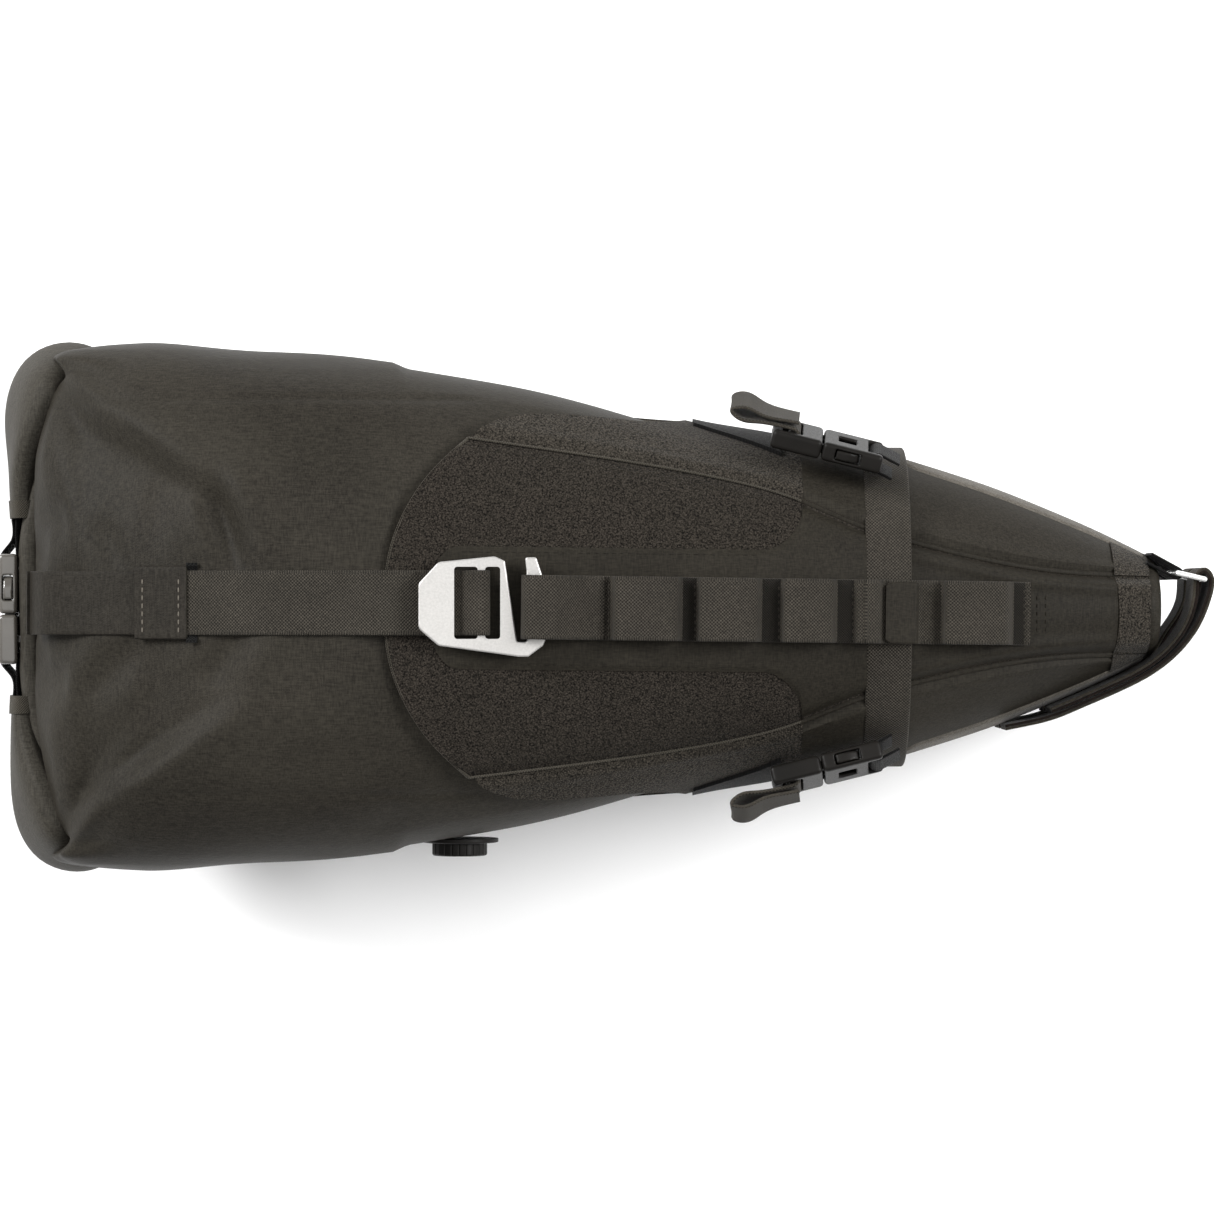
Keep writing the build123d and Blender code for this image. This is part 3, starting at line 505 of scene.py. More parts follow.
def textured_fabric(name, dark, light, size=1.0, relief=0.35):
    """Coarse knitted face: small uneven knots, matte."""
    m = Nodes(name)
    p = m.space()
    knots = m.cells(p, 1250.0 / size)
    grain = m.noise(p, 1700.0 / size, 2.0, 0.6)
    cloud = m.noise(p, 240.0 / size, 3.0)
    share = m.math("ADD", m.span(knots, 0.15, 0.65, 0.5, 0), m.span(grain, 0.38, 0.62, 0.0, 0.5))
    share = m.math("MULTIPLY", share, m.span(cloud, 0.3, 0.7, 0.85, 1.0))
    m.colour(share, linear(*dark), linear(*light))
    m.rough(m.span(grain, 0.3, 0.7, 0.78, 0.95))
    m.set(Specular_IOR_Level=0.06, Sheen_Weight=0.04, Sheen_Roughness=0.45)
    m.relief([(cloud, 0.3, 0.2), (m.span(knots, 0.1, 0.7, 1, 0), relief, 0.7), (grain, relief * 0.5, 0.5)])
    return m.material


def webbing(name, dark, light, pitch=0.66, half=WEB_HALF, rough=0.62, contrast=0.8):
    """Woven strap: rows of raised crossings, with a denser selvedge along both edges."""
    m = Nodes(name)
    along, across, _ = m.weave()
    p = m.space()
    crossings = thread_grid(m, along, across, pitch, pitch)
    ribs = m.span(m.math("SINE", m.math("MULTIPLY", along, math.pi * 2 / pitch)), -1, 1, 0, 1)
    edge = m.span(m.math("ABSOLUTE", across), half - 1.9, half - 1.1, 0, 1)
    woven = m.math("ADD", m.math("MULTIPLY", crossings, m.math("SUBTRACT", 1.0, edge)),
                   m.math("MULTIPLY", ribs, edge))
    fuzz = m.noise(p, 1200.0, 2.0)
    broad = m.noise(p, 60.0, 3.0)
    share = m.math("MULTIPLY", woven, m.span(fuzz, 0.3, 0.7, 1 - 0.7 * contrast, 1.0))
    share = m.math("MULTIPLY", share, m.span(broad, 0.3, 0.7, 0.75, 1.0))
    m.colour(share, linear(*dark), linear(*light))
    m.rough(m.span(fuzz, 0.3, 0.7, rough, rough + 0.2))
    m.set(Specular_IOR_Level=0.1, Sheen_Weight=0.03, Sheen_Roughness=0.4)
    m.relief([(fuzz, 0.12, 0.4), (woven, 0.4, 0.9)])
    return m.material


def moulded_plastic(name, dark, light, rough, gloss):
    m = Nodes(name)
    p = m.space()
    broad, fine = m.noise(p, 40.0, 3.0), m.noise(p, 1600.0, 2.0)
    m.colour(m.span(broad, 0.3, 0.7, 0, 1), linear(*dark), linear(*light))
    m.rough(m.span(fine, 0.3, 0.7, rough - 0.05, rough + 0.07))
    m.set(Specular_IOR_Level=gloss)
    m.relief([(broad, 0.2, 0.08), (fine, 0.03, 0.5)])
    return m.material


def cast_metal(name, colour, rough, share):
    """Tumbled cast metal: an even, fine satin grain with faint worn patches."""
    m = Nodes(name)
    p = m.space()
    grain = m.noise(p, 1300.0, 3.0, 0.6)
    broad = m.noise(p, 60.0, 3.0)
    m.colour(m.span(grain, 0.35, 0.65, 0, 1), linear(*(c * 0.94 for c in colour)), linear(*colour))
    m.rough(m.span(m.math("ADD", grain, broad), 0.7, 1.3, rough - 0.06, rough + 0.08))
    m.set(Metallic=share)
    m.relief([(broad, 0.25, 0.08), (grain, 0.05, 0.6)])
    return m.material


def pile_fabric(name, dark, light, size=1.0):
    """Hook-and-loop or felt face: fuzzy pile."""
    m = Nodes(name)
    p = m.space()
    fibres = m.noise(p, 1500.0 / size, 4.0, 0.7)
    tufts = m.cells(p, 900.0 / size)
    cloud = m.noise(p, 180.0, 3.0)
    share = m.math("MULTIPLY", m.span(fibres, 0.3, 0.7, 0.1, 1), m.span(cloud, 0.3, 0.7, 0.6, 1.0))
    m.colour(share, linear(*dark), linear(*light))
    m.rough(m.span(fibres, 0.3, 0.7, 0.85, 1.0))
    m.set(Specular_IOR_Level=0.06, Sheen_Weight=0.1, Sheen_Roughness=0.4)
    m.relief([(tufts, 0.3, 0.6), (fibres, 0.3, 0.8)])
    return m.material


LOOK = {
    "coated": coated_fabric("coated_nylon", (24, 22, 19), (51, 48, 42), 0.54),
    # The bag's own coated nylon, painted lighter for the roll and its ends: painted light that makes up for
    # the shade on the rolled tube.
    "ear": coated_fabric("coated_nylon_roll_painted_lighter", (34, 32, 28), (65, 62, 56), 0.54),
    "overlay": coated_fabric("smooth_overlay", (22, 20, 17), (44, 41, 35), 0.6, thread=0.4, relief=0.04),
    "side_smooth": coated_fabric("side_fabric", (24, 22, 19), (49, 46, 40), 0.62, thread=0.4, relief=0.04),
    "coarse": textured_fabric("coarse_fabric", (2, 2, 1), (60, 55, 49)),
    "side_coarse": textured_fabric("coarse_side_fabric", (5, 5, 4), (72, 67, 60)),
    "web": webbing("grey_webbing", (9, 8, 6), (83, 78, 70)),
    "band": coated_fabric("smooth_band", (22, 20, 17), (49, 46, 41), 0.6, thread=0.45, relief=0.06),
    "black_web": webbing("black_webbing", (6, 6, 6), (24, 23, 22), half=NARROW_HALF),
    "binding": webbing("binding_tape", (44, 41, 35), (78, 74, 66), pitch=0.5, half=90.0),
    "felt": pile_fabric("felt_trim", (46, 43, 38), (100, 95, 87)),
    "loop_face": pile_fabric("loop_face", (26, 24, 20), (60, 56, 49)),
    "hook_face": pile_fabric("hook_face", (10, 8, 7), (34, 27, 23), size=1.6),
    "plastic": moulded_plastic("buckle_plastic", (14, 13, 11), (22, 20, 18), 0.42, gloss=0.12),
    "rubber": moulded_plastic("valve_rubber", (14, 14, 14), (22, 22, 22), 0.6, gloss=0.4),
    # Same black plastic as the other buckles, but with a lighter base colour on the rear buckle: a painted
    # highlight.
    "glossy": moulded_plastic("rear_buckle_plastic_painted_light", (64, 61, 56), (88, 84, 78), 0.2, gloss=1.0),
    "alloy": cast_metal("hook_alloy", (187, 185, 182), 0.45, share=0.75),
    "steel": cast_metal("ring_steel", (250, 250, 248), 0.18, share=0.8),
    # Dark strips laid flat in the gaps in front of the daisy loops: painted shade where those gaps fall dark.
    "tack": webbing("bar_tack_thread", (14, 13, 11), (44, 41, 36), pitch=0.5, half=90.0),
    "thread": webbing("thread", (72, 68, 61), (116, 110, 101), pitch=0.4, half=90.0),
}


def dress(obj, look, *replaced):
    """Material, body and the CAD nodes that this piece stands for."""
    obj.data.materials.append(LOOK[look])
    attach(obj, "pack")
    if replaced:
        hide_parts(*replaced)
    return obj


def panel(name, outer, inner, look, *replaced):
    """Dressed slab between two surfaces, each given as x, y and z over a grid."""
    grids = [np.stack(np.broadcast_arrays(*surface), -1) for surface in (outer, inner)]
    return dress(slab(name, *grids), look, *replaced)


def row_across(x, y, z):
    """A stitch run at one x, facing up."""
    return np.stack(np.broadcast_arrays(x, y, z), 1), UP


# ---- dry bag ----
FOLDS = [  # x, y where a fold starts and ends, its half width, its depth (negative is a ridge)
    (-217, 90, -184, 60, 5.0, -2.4), (-213, -88, -186, -54, 5.0, -2.4), (-152, 46, -142, 14, 5.0, 4.2),
    (-153, -28, -140, -8, 6.0, 2.4), (-200, 32, -191, 12, 5.0, 1.1), (-175, 50, -174, 24, 6.0, 0.8),
    (-206, -34, -183, -14, 6.5, 1.7), (-178, -20, -178, -52, 6.0, 1.0), (-216, 80, -209, 44, 6.0, 1.0),
    (-213, -78, -207, -42, 6.0, 1.0), (-128, 66, -92, 58, 9.0, 0.8), (-120, -62, -90, -54, 9.0, 0.7)]
DENTS = [  # x, y, radii, turn, depth
    (-164, 32, 11, 15, 10, -1.1), (-194, -12, 7, 6, 0, -0.7), (-165, -44, 12, 9, 30, -0.8),
    (-136, 30, 8, 18, 15, -1.2), (-135, -18, 9, 15, -20, -1.0), (-104, 62, 24, 12, -8, 0.9),
    (-108, -62, 26, 12, 8, 0.9), (-172, 84, 20, 9, 5, 0.7), (-168, -84, 20, 9, -5, 0.7)]


def bag_relief(x, y):
    """How deep the folds and soft dents of the stuffed bag are, over plan points."""
    depth = np.zeros_like(x)
    for x0, y0, x1, y1, wide, deep in FOLDS:
        d = np.array([x1 - x0, y1 - y0], float)
        t = ((x - x0) * d[0] + (y - y0) * d[1]) / (d @ d)
        off = np.hypot(x - x0 - np.clip(t, -0.3, 1.3) * d[0], y - y0 - np.clip(t, -0.3, 1.3) * d[1])
        strength = deep * fade(t, -0.35, 0.25) * (1 - fade(t, 0.45, 1.35))
        depth += strength * (np.exp(-(off / wide) ** 2) - 0.25 * np.exp(-((off - 2.0 * wide) / wide) ** 2))
    for cx, cy, rx, ry, turn, deep in DENTS:
        depth += deep * bump(x, y, cx, cy, rx, ry, turn)
    return depth


def apply_all(obj):
    bpy.context.view_layer.update()
    graph = bpy.context.evaluated_depsgraph_get()
    mesh = bpy.data.meshes.new_from_object(obj.evaluated_get(graph))
    obj.modifiers.clear()
    obj.data = mesh


def remeshed_copy(name, node, size):
    """Copy of a CAD node's mesh, rebuilt as even small faces."""
    copy = placed(name, frame["nodes"][node].data.copy())
    copy.data.materials.clear()
    rebuild = copy.modifiers.new("remesh", "REMESH")
    rebuild.mode = "VOXEL"
    rebuild.voxel_size = size * MM
    apply_all(copy)
    return copy


def soften(obj, times):
    smooth = obj.modifiers.new("smooth", "SMOOTH")
    smooth.factor, smooth.iterations = 0.5, times


def vectors(items, key):
    values = np.empty(len(items) * 3, np.float32)
    items.foreach_get(key, values)
    return values.reshape(-1, 3).astype(float)


def points_of(mesh):
    return vectors(mesh.vertices, "co") / MM


def put_points(mesh, points):
    mesh.vertices.foreach_set("co", (points * MM).astype(np.float32).ravel())
    mesh.update()


def inflate(obj, pressure, cap):
    """Short cloth simulation under air pressure; no point moves further than cap millimetres."""
    start = points_of(obj.data)
    cloth = obj.modifiers.new("cloth", "CLOTH")
    cloth.settings.quality = 4
    cloth.settings.use_pressure = True
    cloth.settings.uniform_pressure_force = pressure
    cloth.settings.effector_weights.gravity = 0
    cloth.settings.tension_stiffness = 30
    cloth.settings.compression_stiffness = 10
    cloth.settings.bending_stiffness = 2.0
    scene = bpy.context.scene
    for step in range(1, 21):
        scene.frame_set(step)
    apply_all(obj)
    scene.frame_set(1)
    moved = points_of(obj.data) - start
    far = np.linalg.norm(moved, axis=1, keepdims=True)
    put_points(obj.data, start + moved * np.minimum(1, cap / np.maximum(far, 1e-9)))


def hold_inside(points, rear_grow, front_grow, front_x):
    """Keeps points inside the form: rear_grow outside it behind front_x, front_grow ahead of it."""
    x, y, z = points.T
    grow = rear_grow + (front_grow - rear_grow) * fade(x, front_x - 10, front_x)
    half, rise, waist, power = quarter(x, above_waist(x, z), grow)
    level = ((np.abs(y) / half) ** power + (np.abs(z - waist) / rise) ** power) ** (1 / power)
    pull = 1 / np.maximum(level, 1)
    out = points.copy()
    out[:, 1] = y * pull
    out[:, 2] = np.maximum(waist + (z - waist) * pull, 0.2)
    return out


def corner_sweep(x, y, z):
    """How far forwards the upper rear edge lies towards the corners, where the mouth is folded in."""
    swept = 4.5 * fade(y, 56, 86) + 6.5 * fade(-y, 26, 86)
    return swept * fade(-x, 186, 226) * fade(z, 84, 104)


def cover_corners(points):
    """Stretches the two rear corners out over the ends of the roll."""
    x, y, _ = points.T
    share = fade(np.abs(y), 91, 98) * (1 - 0.5 * fade(np.abs(y), 99, 106)) * fade(-x, 186, 208)
    points[:, 0] -= 12.0 * share
    points[:, 1] += 1.6 * share * np.sign(y)


def build_bag():
    bag = remeshed_copy("bag_skin", "dry_bag_body", 4.5)
    points = points_of(bag.data)
    put_points(bag.data, points - vectors(bag.data.vertex_normals, "vector") * 1.5)
    inflate(bag, 4.0, 5.0)
    soften(bag, 4)
    fine = bag.modifiers.new("fine", "SUBSURF")
    fine.levels = fine.render_levels = 1
    apply_all(bag)
    points, normals = points_of(bag.data), vectors(bag.data.vertex_normals, "vector")
    x, y, z = points.T
    facing_up = fade(normals[:, 2], -0.2, 0.5)
    depth = (bag_relief(x, y) + sink(x, y)) * facing_up
    side = (1 - facing_up) * (1 - fade(x, -80, -60))
    depth += side * (1.0 + 1.2 * np.sin(x / 17.0 + z / 23.0) * np.sin(x / 31.0 - z / 14.0))
    weld = np.exp(-((np.abs(y - 4) - 77.0) / 1.3) ** 2) * facing_up * fade(-x, 40, 60)
    depth += 0.5 * weld
    points = points - normals * depth[:, None]
    points = hold_inside(points, 0.6, -1.6, -78.0)
    points[:, 0] += corner_sweep(*points.T)
    cover_corners(points)
    put_points(bag.data, points)
    finish_shading(bag, math.radians(70))
    dress(bag, "coated", "dry_bag_body")


# ---- roll closure ----
EAR_LINE = [(-233.4, 36.0), (-233.5, 47.0), (-233.0, 58.0), (-231.6, 70.0), (-228.6, 82.0),
            (-222.6, 91.4), (-213.0, 95.0), (-203.0, 93.0)]
EAR_SIZE = Curve([0, 0.12, 0.3, 0.5, 0.68, 0.84, 1.0],
                 [(4.8, 15.0), (5.4, 15.8), (6.6, 17.6), (7.8, 20.0), (9.0, 21.5), (8.8, 19.0), (6.0, 12.0)])


def build_ear(side, name):
    """One end of the rolled mouth, bent back behind the bag, with a bound lip."""
    plan = path_through(EAR_LINE, 46)
    t = np.linspace(0, 1, len(plan))
    forward = 0.0 if side > 0 else 3.0 * fade(t, 0.0, 0.6)
    height = 74.0 + 5.0 * fade(t, 0.1, 0.5) - 5.0 * fade(t, 0.7, 1.0)
    centre = np.stack([plan[:, 0] + forward, side * plan[:, 1], height], 1)
    tangent = tangents(centre)
    inward = np.cross(tangent, (0.0, 0.0, side))
    up = UP + inward * (0.12 + 0.3 * fade(t, 0.1, 0.6))[:, None]
    up /= np.linalg.norm(up, axis=1, keepdims=True)
    right = np.cross(tangent, up)
    size = EAR_SIZE(t)
    cap = np.sqrt(np.clip(1 - ((t - 0.93) / 0.075) ** 2, 0.02, 1)) * (t > 0.93) + (t <= 0.93)
    size = size * cap[:, None]

    def grooves(a):
        layers = 1 - 0.10 * np.exp(-((np.abs(np.cos(a)) - 0.35) / 0.12) ** 2)
        waves = 1 + 0.05 * np.sin(9 * t + 1.3 * side)[:, None] * np.cos(2 * a)[None]
        return layers[None] * waves

    ear = tube_form(f"roll_ear_{name}", centre, right, up, size, 2.9, 56, grooves)
    # The "ear" look is the bag's nylon painted lighter against the shade on the roll.
    dress(ear, "ear")
    lip_at = centre[:5].copy()
    lip_at[:, 1] -= side * 0.6
    lip = tube_form(f"roll_lip_{name}", lip_at, right[:5], up[:5], size[:5] + 0.7, 2.8, 48)
    dress(lip, "binding")
    return ear


def build_roll():
    y = np.linspace(-90, 90, 90)
    x = -229.2 + 8.5 * fade(np.abs(y), 20, 80)
    centre = np.stack([x, y, np.full_like(y, ROLL_Z)], 1)
    right = np.tile([1.0, 0.0, 0.0], (len(y), 1))
    up = np.tile(UP, (len(y), 1))
    size = np.stack([5.6 + 0.25 * np.sin(y / 9.0), 16.3 + 0.3 * np.sin(y / 13.0)], 1)

    def grooves(a):
        return 1 - 0.12 * np.exp(-((np.abs(np.sin(a)) - 0.45) / 0.06) ** 2)[None] * np.ones((len(y), 1))

    roll = tube_form("roll_core", centre, right, up, size, 2.8, 60, grooves)
    # The "ear" look is the bag's nylon painted lighter against the shade on the roll.
    dress(roll, "ear", "roll_top", "roll_strip")
    for side, name in SIDES:
        build_ear(side, name)


def bar_arc(a, b, radius, half_turn, count):
    """Arc round a bar at a, open towards b, with the directions along and across the loop."""
    along = (b - a) / np.linalg.norm(b - a)
    side = np.array([-along[1], along[0]])
    turn = np.radians(np.linspace(180 - half_turn, 180 + half_turn, count))
    return [a + radius * (along * math.cos(k) + side * math.sin(k)) for k in turn], along, side


def sewn_loop(a, b, radius, apart=0.62):
    """Loop round a bar at a whose two legs close up and run sewn together to b."""
    a, b = np.array(a, float), np.array(b, float)
    arc, along, side = bar_arc(a, b, radius, 100, 17)
    near = a + along * radius * 2.6
    legs = [[b + side * w, (b + near) / 2 + side * w, near + side * w * 1.1,
             a + along * radius * 1.3 + side * w * 3.2] for w in (apart, -apart)]
    return path_through(legs[0] + arc + legs[1][::-1], 90)


def racetrack_line(a, b, radius):
    """Open loop from a seam at b round a bar at a and back to the seam."""
    a, b = np.array(a, float), np.array(b, float)
    arc, _, side = bar_arc(a, b, radius, 90, 15)
    run = np.linspace(0, 1, 12)[:, None]
    return np.concatenate([(b + side * radius) * (1 - run) + arc[0] * run, arc[1:-1],
                           arc[-1] * (1 - run) + (b - side * radius) * run])


def build_roll_webbing():
    socket, plug = box_of("rear_buckle_female"), box_of("rear_buckle_male")
    x, _, z = socket.mean(0)
    for side, bar, name in ((1, socket[1][1] - 1.95, "left"), (-1, plug[0][1] + 2.0, "right")):
        plan = sewn_loop((x, bar), (x + 6.5, side * 39.0), 3.2)
        line = np.column_stack([plan, np.full(len(plan), z)])
        lean = 0.55 * fade(np.abs(plan[:, 1] - bar), 6, 14)[:, None]
        across = UP - lean * (1.0, 0.0, 0.0)
        web = strap(f"roll_web_{name}", line + lean * (3.0, 0.0, 0.0), across, NARROW_HALF, 1.1)
        dress(web, "black_web", f"roll_webbing_{name}")


# ---- holster ----
SEAM = Curve([TONGUE_X, 0, 46, 74, 100, 118, 174, 215.5],
             [TONGUE_HALF, 58.6, 51.0, 43.5, 33.0, 27.8, 17.2, 15.5])
REAR = Curve([0, 25.0, 41.0, 53.0, TONGUE_HALF], [-86.0, -82.5, -75.5, -67.0, TONGUE_X])
NOTCH = Curve([8, 14, 27, 46, 78, 109, 122, 129, 143], [-92, -60, -10, 21, 31, 21, -3, -28, -54])
BASE_HALF = Curve([-60, 0, 75, 130, 178, 215.5], [62, 55, 44, 31, 17, 9])


def seam_half(x):
    return np.where(x < TONGUE_X, TONGUE_HALF, SEAM(x))


def plan_grid(rear_x, half, middle, rows, cols, front_x):
    """Plan points from a shaped rear edge to a straight front edge, v running across."""
    v = np.sin(np.linspace(-math.pi / 2, math.pi / 2, cols)) * 0.35 + np.linspace(-1, 1, cols) * 0.65
    t = np.linspace(0, 1, rows)[:, None]
    start = rear_x(v)[None]
    x = start + (front_x - start) * t
    return x, middle(x) + v[None] * half(x), np.broadcast_to(v[None], x.shape)


def welt(v, x, depth, width=2.6):
    """Dip of a panel beside its seams, where v is -1 and 1."""
    off = (1 - np.abs(v)) * seam_half(x)
    return depth * np.exp(-((off - 0.4) / width) ** 2)


def front_z(x, y, v, lift):
    """Front of the top panel: a soft ridge beside each deep side seam."""
    ridge = 1.5 * np.exp(-(((1 - np.abs(v)) * seam_half(x) - 4.5) / 3.2) ** 2) * fade(x, 100, 125)
    return top_z(x, y, PANEL_OUT + lift) - welt(v, x, 2.8, 2.0) + ridge


def build_top_panel():
    x, y, v = plan_grid(lambda v: REAR(np.abs(v) * TONGUE_HALF), seam_half, drift, 200, 72, FRONT_X + 0.4)
    crown = 0.27 * np.sin(np.clip((x + 86) / 60, 0, 1) * math.pi) * (1 - v**2)
    upper = top_z(x, y, PANEL_OUT - 0.25) - welt(v, x, 1.0) + crown
    panel("top_panel", (x, y, upper), (x, y, top_z(x, y, PANEL_IN)), "coarse", "holster_top_panel")

    def overlay_half(x):
        straight = 23.6
        corner = np.clip((x - 60.0) / 16.0, 0, 1)
        flare = 1 - np.sqrt(1 - corner**2)
        return straight + (seam_half(x) - 0.7 - straight) * flare

    x, y, v = plan_grid(lambda v: -57 - 12 * np.sqrt(1 - v**2), overlay_half, drift, 150, 60, SPLIT_X)
    edge = 0.55 * np.exp(-((1 - np.abs(v)) * 24 / 1.2) ** 2)
    upper = top_z(x, y, PANEL_OUT + 0.75) - edge - welt(v, x, 0.8) * fade(x, 70, SPLIT_X)
    panel("overlay_tongue", (x, y, upper), (x, y, top_z(x, y, PANEL_OUT - 1.4)), "overlay", "top_overlay")
    half = lambda x: seam_half(x) - 0.2
    x, y, v = plan_grid(lambda v: SPLIT_X + 0 * v, half, drift, 110, 60, FRONT_X + 0.4)
    panel("overlay_front", (x, y, front_z(x, y, v, 0.75)), (x, y, top_z(x, y, PANEL_OUT - 1.4)), "overlay")


def side_grid(side, rear, front, rows, cols, grow):
    """Grid on one side between the top seam and the base seam; rear and front give x at a height."""
    v = np.linspace(0, 1, cols)
    xs = np.linspace(-95, FRONT_X + 0.5, 320)
    rings = []
    for x in xs:
        half, _, _, _, power = form_at(x)
        w = seam_half(x) + side * drift(x)
        start = math.degrees(math.acos(min(1, w / (half + grow)) ** (power / 2)))
        low = math.degrees(math.acos(min(1, BASE_HALF(x) / (half + grow)) ** (LOWER_POWER / 2)))
        rings.append(ring(x, grow, start, -low, cols))
    rings = np.array(rings)
    out = np.zeros((rows, cols, 3))
    t = np.linspace(0, 1, rows)
    for j in range(cols):
        zs = rings[:, j, 2]
        ends = []
        for edge in (rear, front):
            x = 0.0
            for _ in range(12):
                x = 0.5 * x + 0.5 * float(edge(np.interp(x, xs, zs)))
            ends.append(x)
        x = ends[0] + (ends[1] - ends[0]) * t
        out[:, j, 0] = x
        out[:, j, 1] = side * np.interp(x, xs, rings[:, j, 1])
        out[:, j, 2] = np.interp(x, xs, zs)
    return out, v


def split_x(z):
    """Seam between the coarse rear part and the smooth front part of a side panel."""
    return SPLIT_X - 10.0 * fade(118.0 - z, 0, 70)


def build_sides():
    for side, name in SIDES:
        for part, rear, front, look in (("rear", NOTCH, split_x, "side_coarse"),
                                        ("front", split_x, lambda z: FRONT_X + 0.3, "side_smooth")):
            outer, v = side_grid(side, rear, front, 110, 60, PANEL_OUT - 0.2)
            inner, _ = side_grid(side, rear, front, 110, 60, PANEL_IN)
            n = grid_normals(outer)
            n *= np.sign(np.sum(n * (0, side, 0.2), -1, keepdims=True))
            span = travelled(outer[60])
            deep = 1.3 if part == "rear" else 2.6
            dip = deep * np.exp(-((span - 0.3) / 2.0) ** 2) + 1.0 * np.exp(-((span[-1] - span) / 2.2) ** 2)
            roll = 0.9 * np.exp(-((span - 5.0) / 3.0) ** 2)
            puff = 0.7 * np.sin(v * math.pi) + roll
            shape = outer + n * (puff - dip)[None, :, None]
            piece = slab(f"side_{part}_{name}", shape, inner)
            dress(piece, look, *([f"holster_side_{name}"] if part == "rear" else []))


def build_base():
    edge = 63.0
    rear = Curve([0, 36.0, edge], [-88.0, -88.6, -90.5])
    half = lambda x: np.where(x < -60, edge - 1.0, BASE_HALF(x)) + 1.0
    x, y, _ = plan_grid(lambda v: rear(np.abs(v) * edge), half, lambda x: 0 * x, 130, 50, FRONT_X + 0.4)
    panel("base_panel", (x, y, low_z(x, y, PANEL_OUT - 0.2)), (x, y, low_z(x, y, PANEL_IN) + 0.6),
          "side_coarse", "holster_base_panel", "base_stiffener")


def build_nose():
    """Padded front wall, crowned at its rim."""
    steps = [(FRONT_X - 0.2, 0.0), (FRONT_X + 1.2, 0.1), (FRONT_X + 2.6, 0.9), (FRONT_X + 3.9, 2.2),
             (FRONT_X + 4.6, 3.8), (NOSE_X, 6.5), (NOSE_X + 0.15, 12.0)]
    left = ring(FRONT_X, PANEL_OUT, 90, -90, 40)
    rim = np.concatenate([left, (left * (1, -1, 1))[-2:0:-1]])[:, 1:]
    centre = np.array([0, NOSE_Z])
    arm = rim - centre
    reach = np.linalg.norm(arm, axis=1, keepdims=True)
    body = np.array([np.insert(centre + arm * (1 - inset / reach), 0, x, axis=1) for x, inset in steps])
    ends = [(FRONT_X - 0.2, 0, NOSE_Z), (NOSE_X + 0.2, 0, NOSE_Z)]
    pad = closed_sweep("nose_pad", body, ends, with_ends(distances(body)))
    dress(pad, "coated", "nose_panel", "nose_foam")
    rear = lambda v: PATCH_X + 1.6 - 1.6 * v**2
    x, y, v = plan_grid(rear, lambda x: seam_half(x) - 0.3, drift, 24, 40, FRONT_X + 0.1)
    edge = 0.6 * np.exp(-((x - PATCH_X - 0.6) / 0.8) ** 2)
    panel("nose_patch", (x, y, front_z(x, y, v, 1.6) - edge), (x, y, front_z(x, y, v, -1.2)), "side_coarse")
    for side, name in SIDES:
        grids = [side_grid(side, lambda z: PATCH_X, lambda z: FRONT_X + 0.2, 20, 44, PANEL_OUT + out)[0]
                 for out in (0.9, -1.0)]
        dress(slab(f"nose_patch_{name}", *grids), "side_coarse")


def build_bindings():
    """Tape folded over the free edges of the tongue and of the side panels."""
    y = np.linspace(-TONGUE_HALF, TONGUE_HALF, 90)
    x = REAR(np.abs(y))
    y = drift(x) + y
    line = evenly(np.stack([x + 0.5, y * 0.994, top_z(x, y, PANEL_OUT - 1.1)], 1), 110)
    across = np.cross(UP, np.gradient(line, axis=0))
    dress(strap("mouth_tape", line, across, 0.8, 1.9, columns=4), "binding", "mouth_binding")
    for side, name in SIDES:
        edge = side_grid(side, NOTCH, lambda z: FRONT_X, 3, 60, PANEL_OUT - 1.2)[0][0]
        line = evenly(edge, 90)
        across = np.cross(np.gradient(line, axis=0), (0.0, side, 0.0))
        tape = strap(f"side_tape_{name}", line, across, 0.9, 2.0, columns=4)
        dress(tape, "binding")


def build_trims():
    """Felted band low on both sides of the front half, wrapping up to the widest line."""
    for side, name in SIDES:
        x = np.linspace(104.0, 213.6, 110)[:, None]
        v = np.linspace(0, 1, 22)[None]
        waist = form_at(x)[3]
        taper = 0.12 + 0.88 * fade(x, 104, 124)
        z = waist + 8.0 + (v * 2 - 1) * (17.0 - 3.0 * fade(x, 150, 212)) * taper
        rim = np.minimum(v, 1 - v) * 30
        grow = PANEL_OUT + 0.35 + 0.75 * fade(rim, 0, 1.8)
        panel(f"trim_{name}", (x, side * side_y(x, z, grow), z),
              (x, side * side_y(x, z, PANEL_OUT - 0.9), z), "felt", f"edge_trim_{name}")


def build_seam_beads():
    """Thin raised line over each seam between the top and side panels."""
    for side, name in SIDES:
        for kind, start, end, grow, drop, half, thick, columns in (
                ("seam", -53.5, 75.5, PANEL_OUT - 0.25, 0.0, 0.5, 1.0, 3),
                ("front", 74.5, 201.0, PANEL_OUT, 1.3, 1.1, 1.6, 4)):
            x = np.linspace(start, end, 160)
            y = drift(x) + side * (seam_half(x) - 0.1)
            line = np.stack([x, y, top_z(x, y, grow) - drop], 1)
            bead = strap(f"{kind}_bead_{name}", line, (0, 1, 0), half, thick, columns=columns)
            dress(bead, "binding" if kind == "seam" else "overlay")


# ---- straps on the top ----
STRAP_Y = 1.6
HOOK_BAR_X = -48.0
TURN_R = 2.75              # middle of the webbing round the hook's bar
KEEPER_X = -160.0


def strap_surface(x):
    x = np.asarray(x, float)
    on_panel = PANEL_OUT + np.where(x > -69, 1.0, 0.8)
    return top_z(x, STRAP_Y) + np.where(x < -83, 0.0, on_panel)


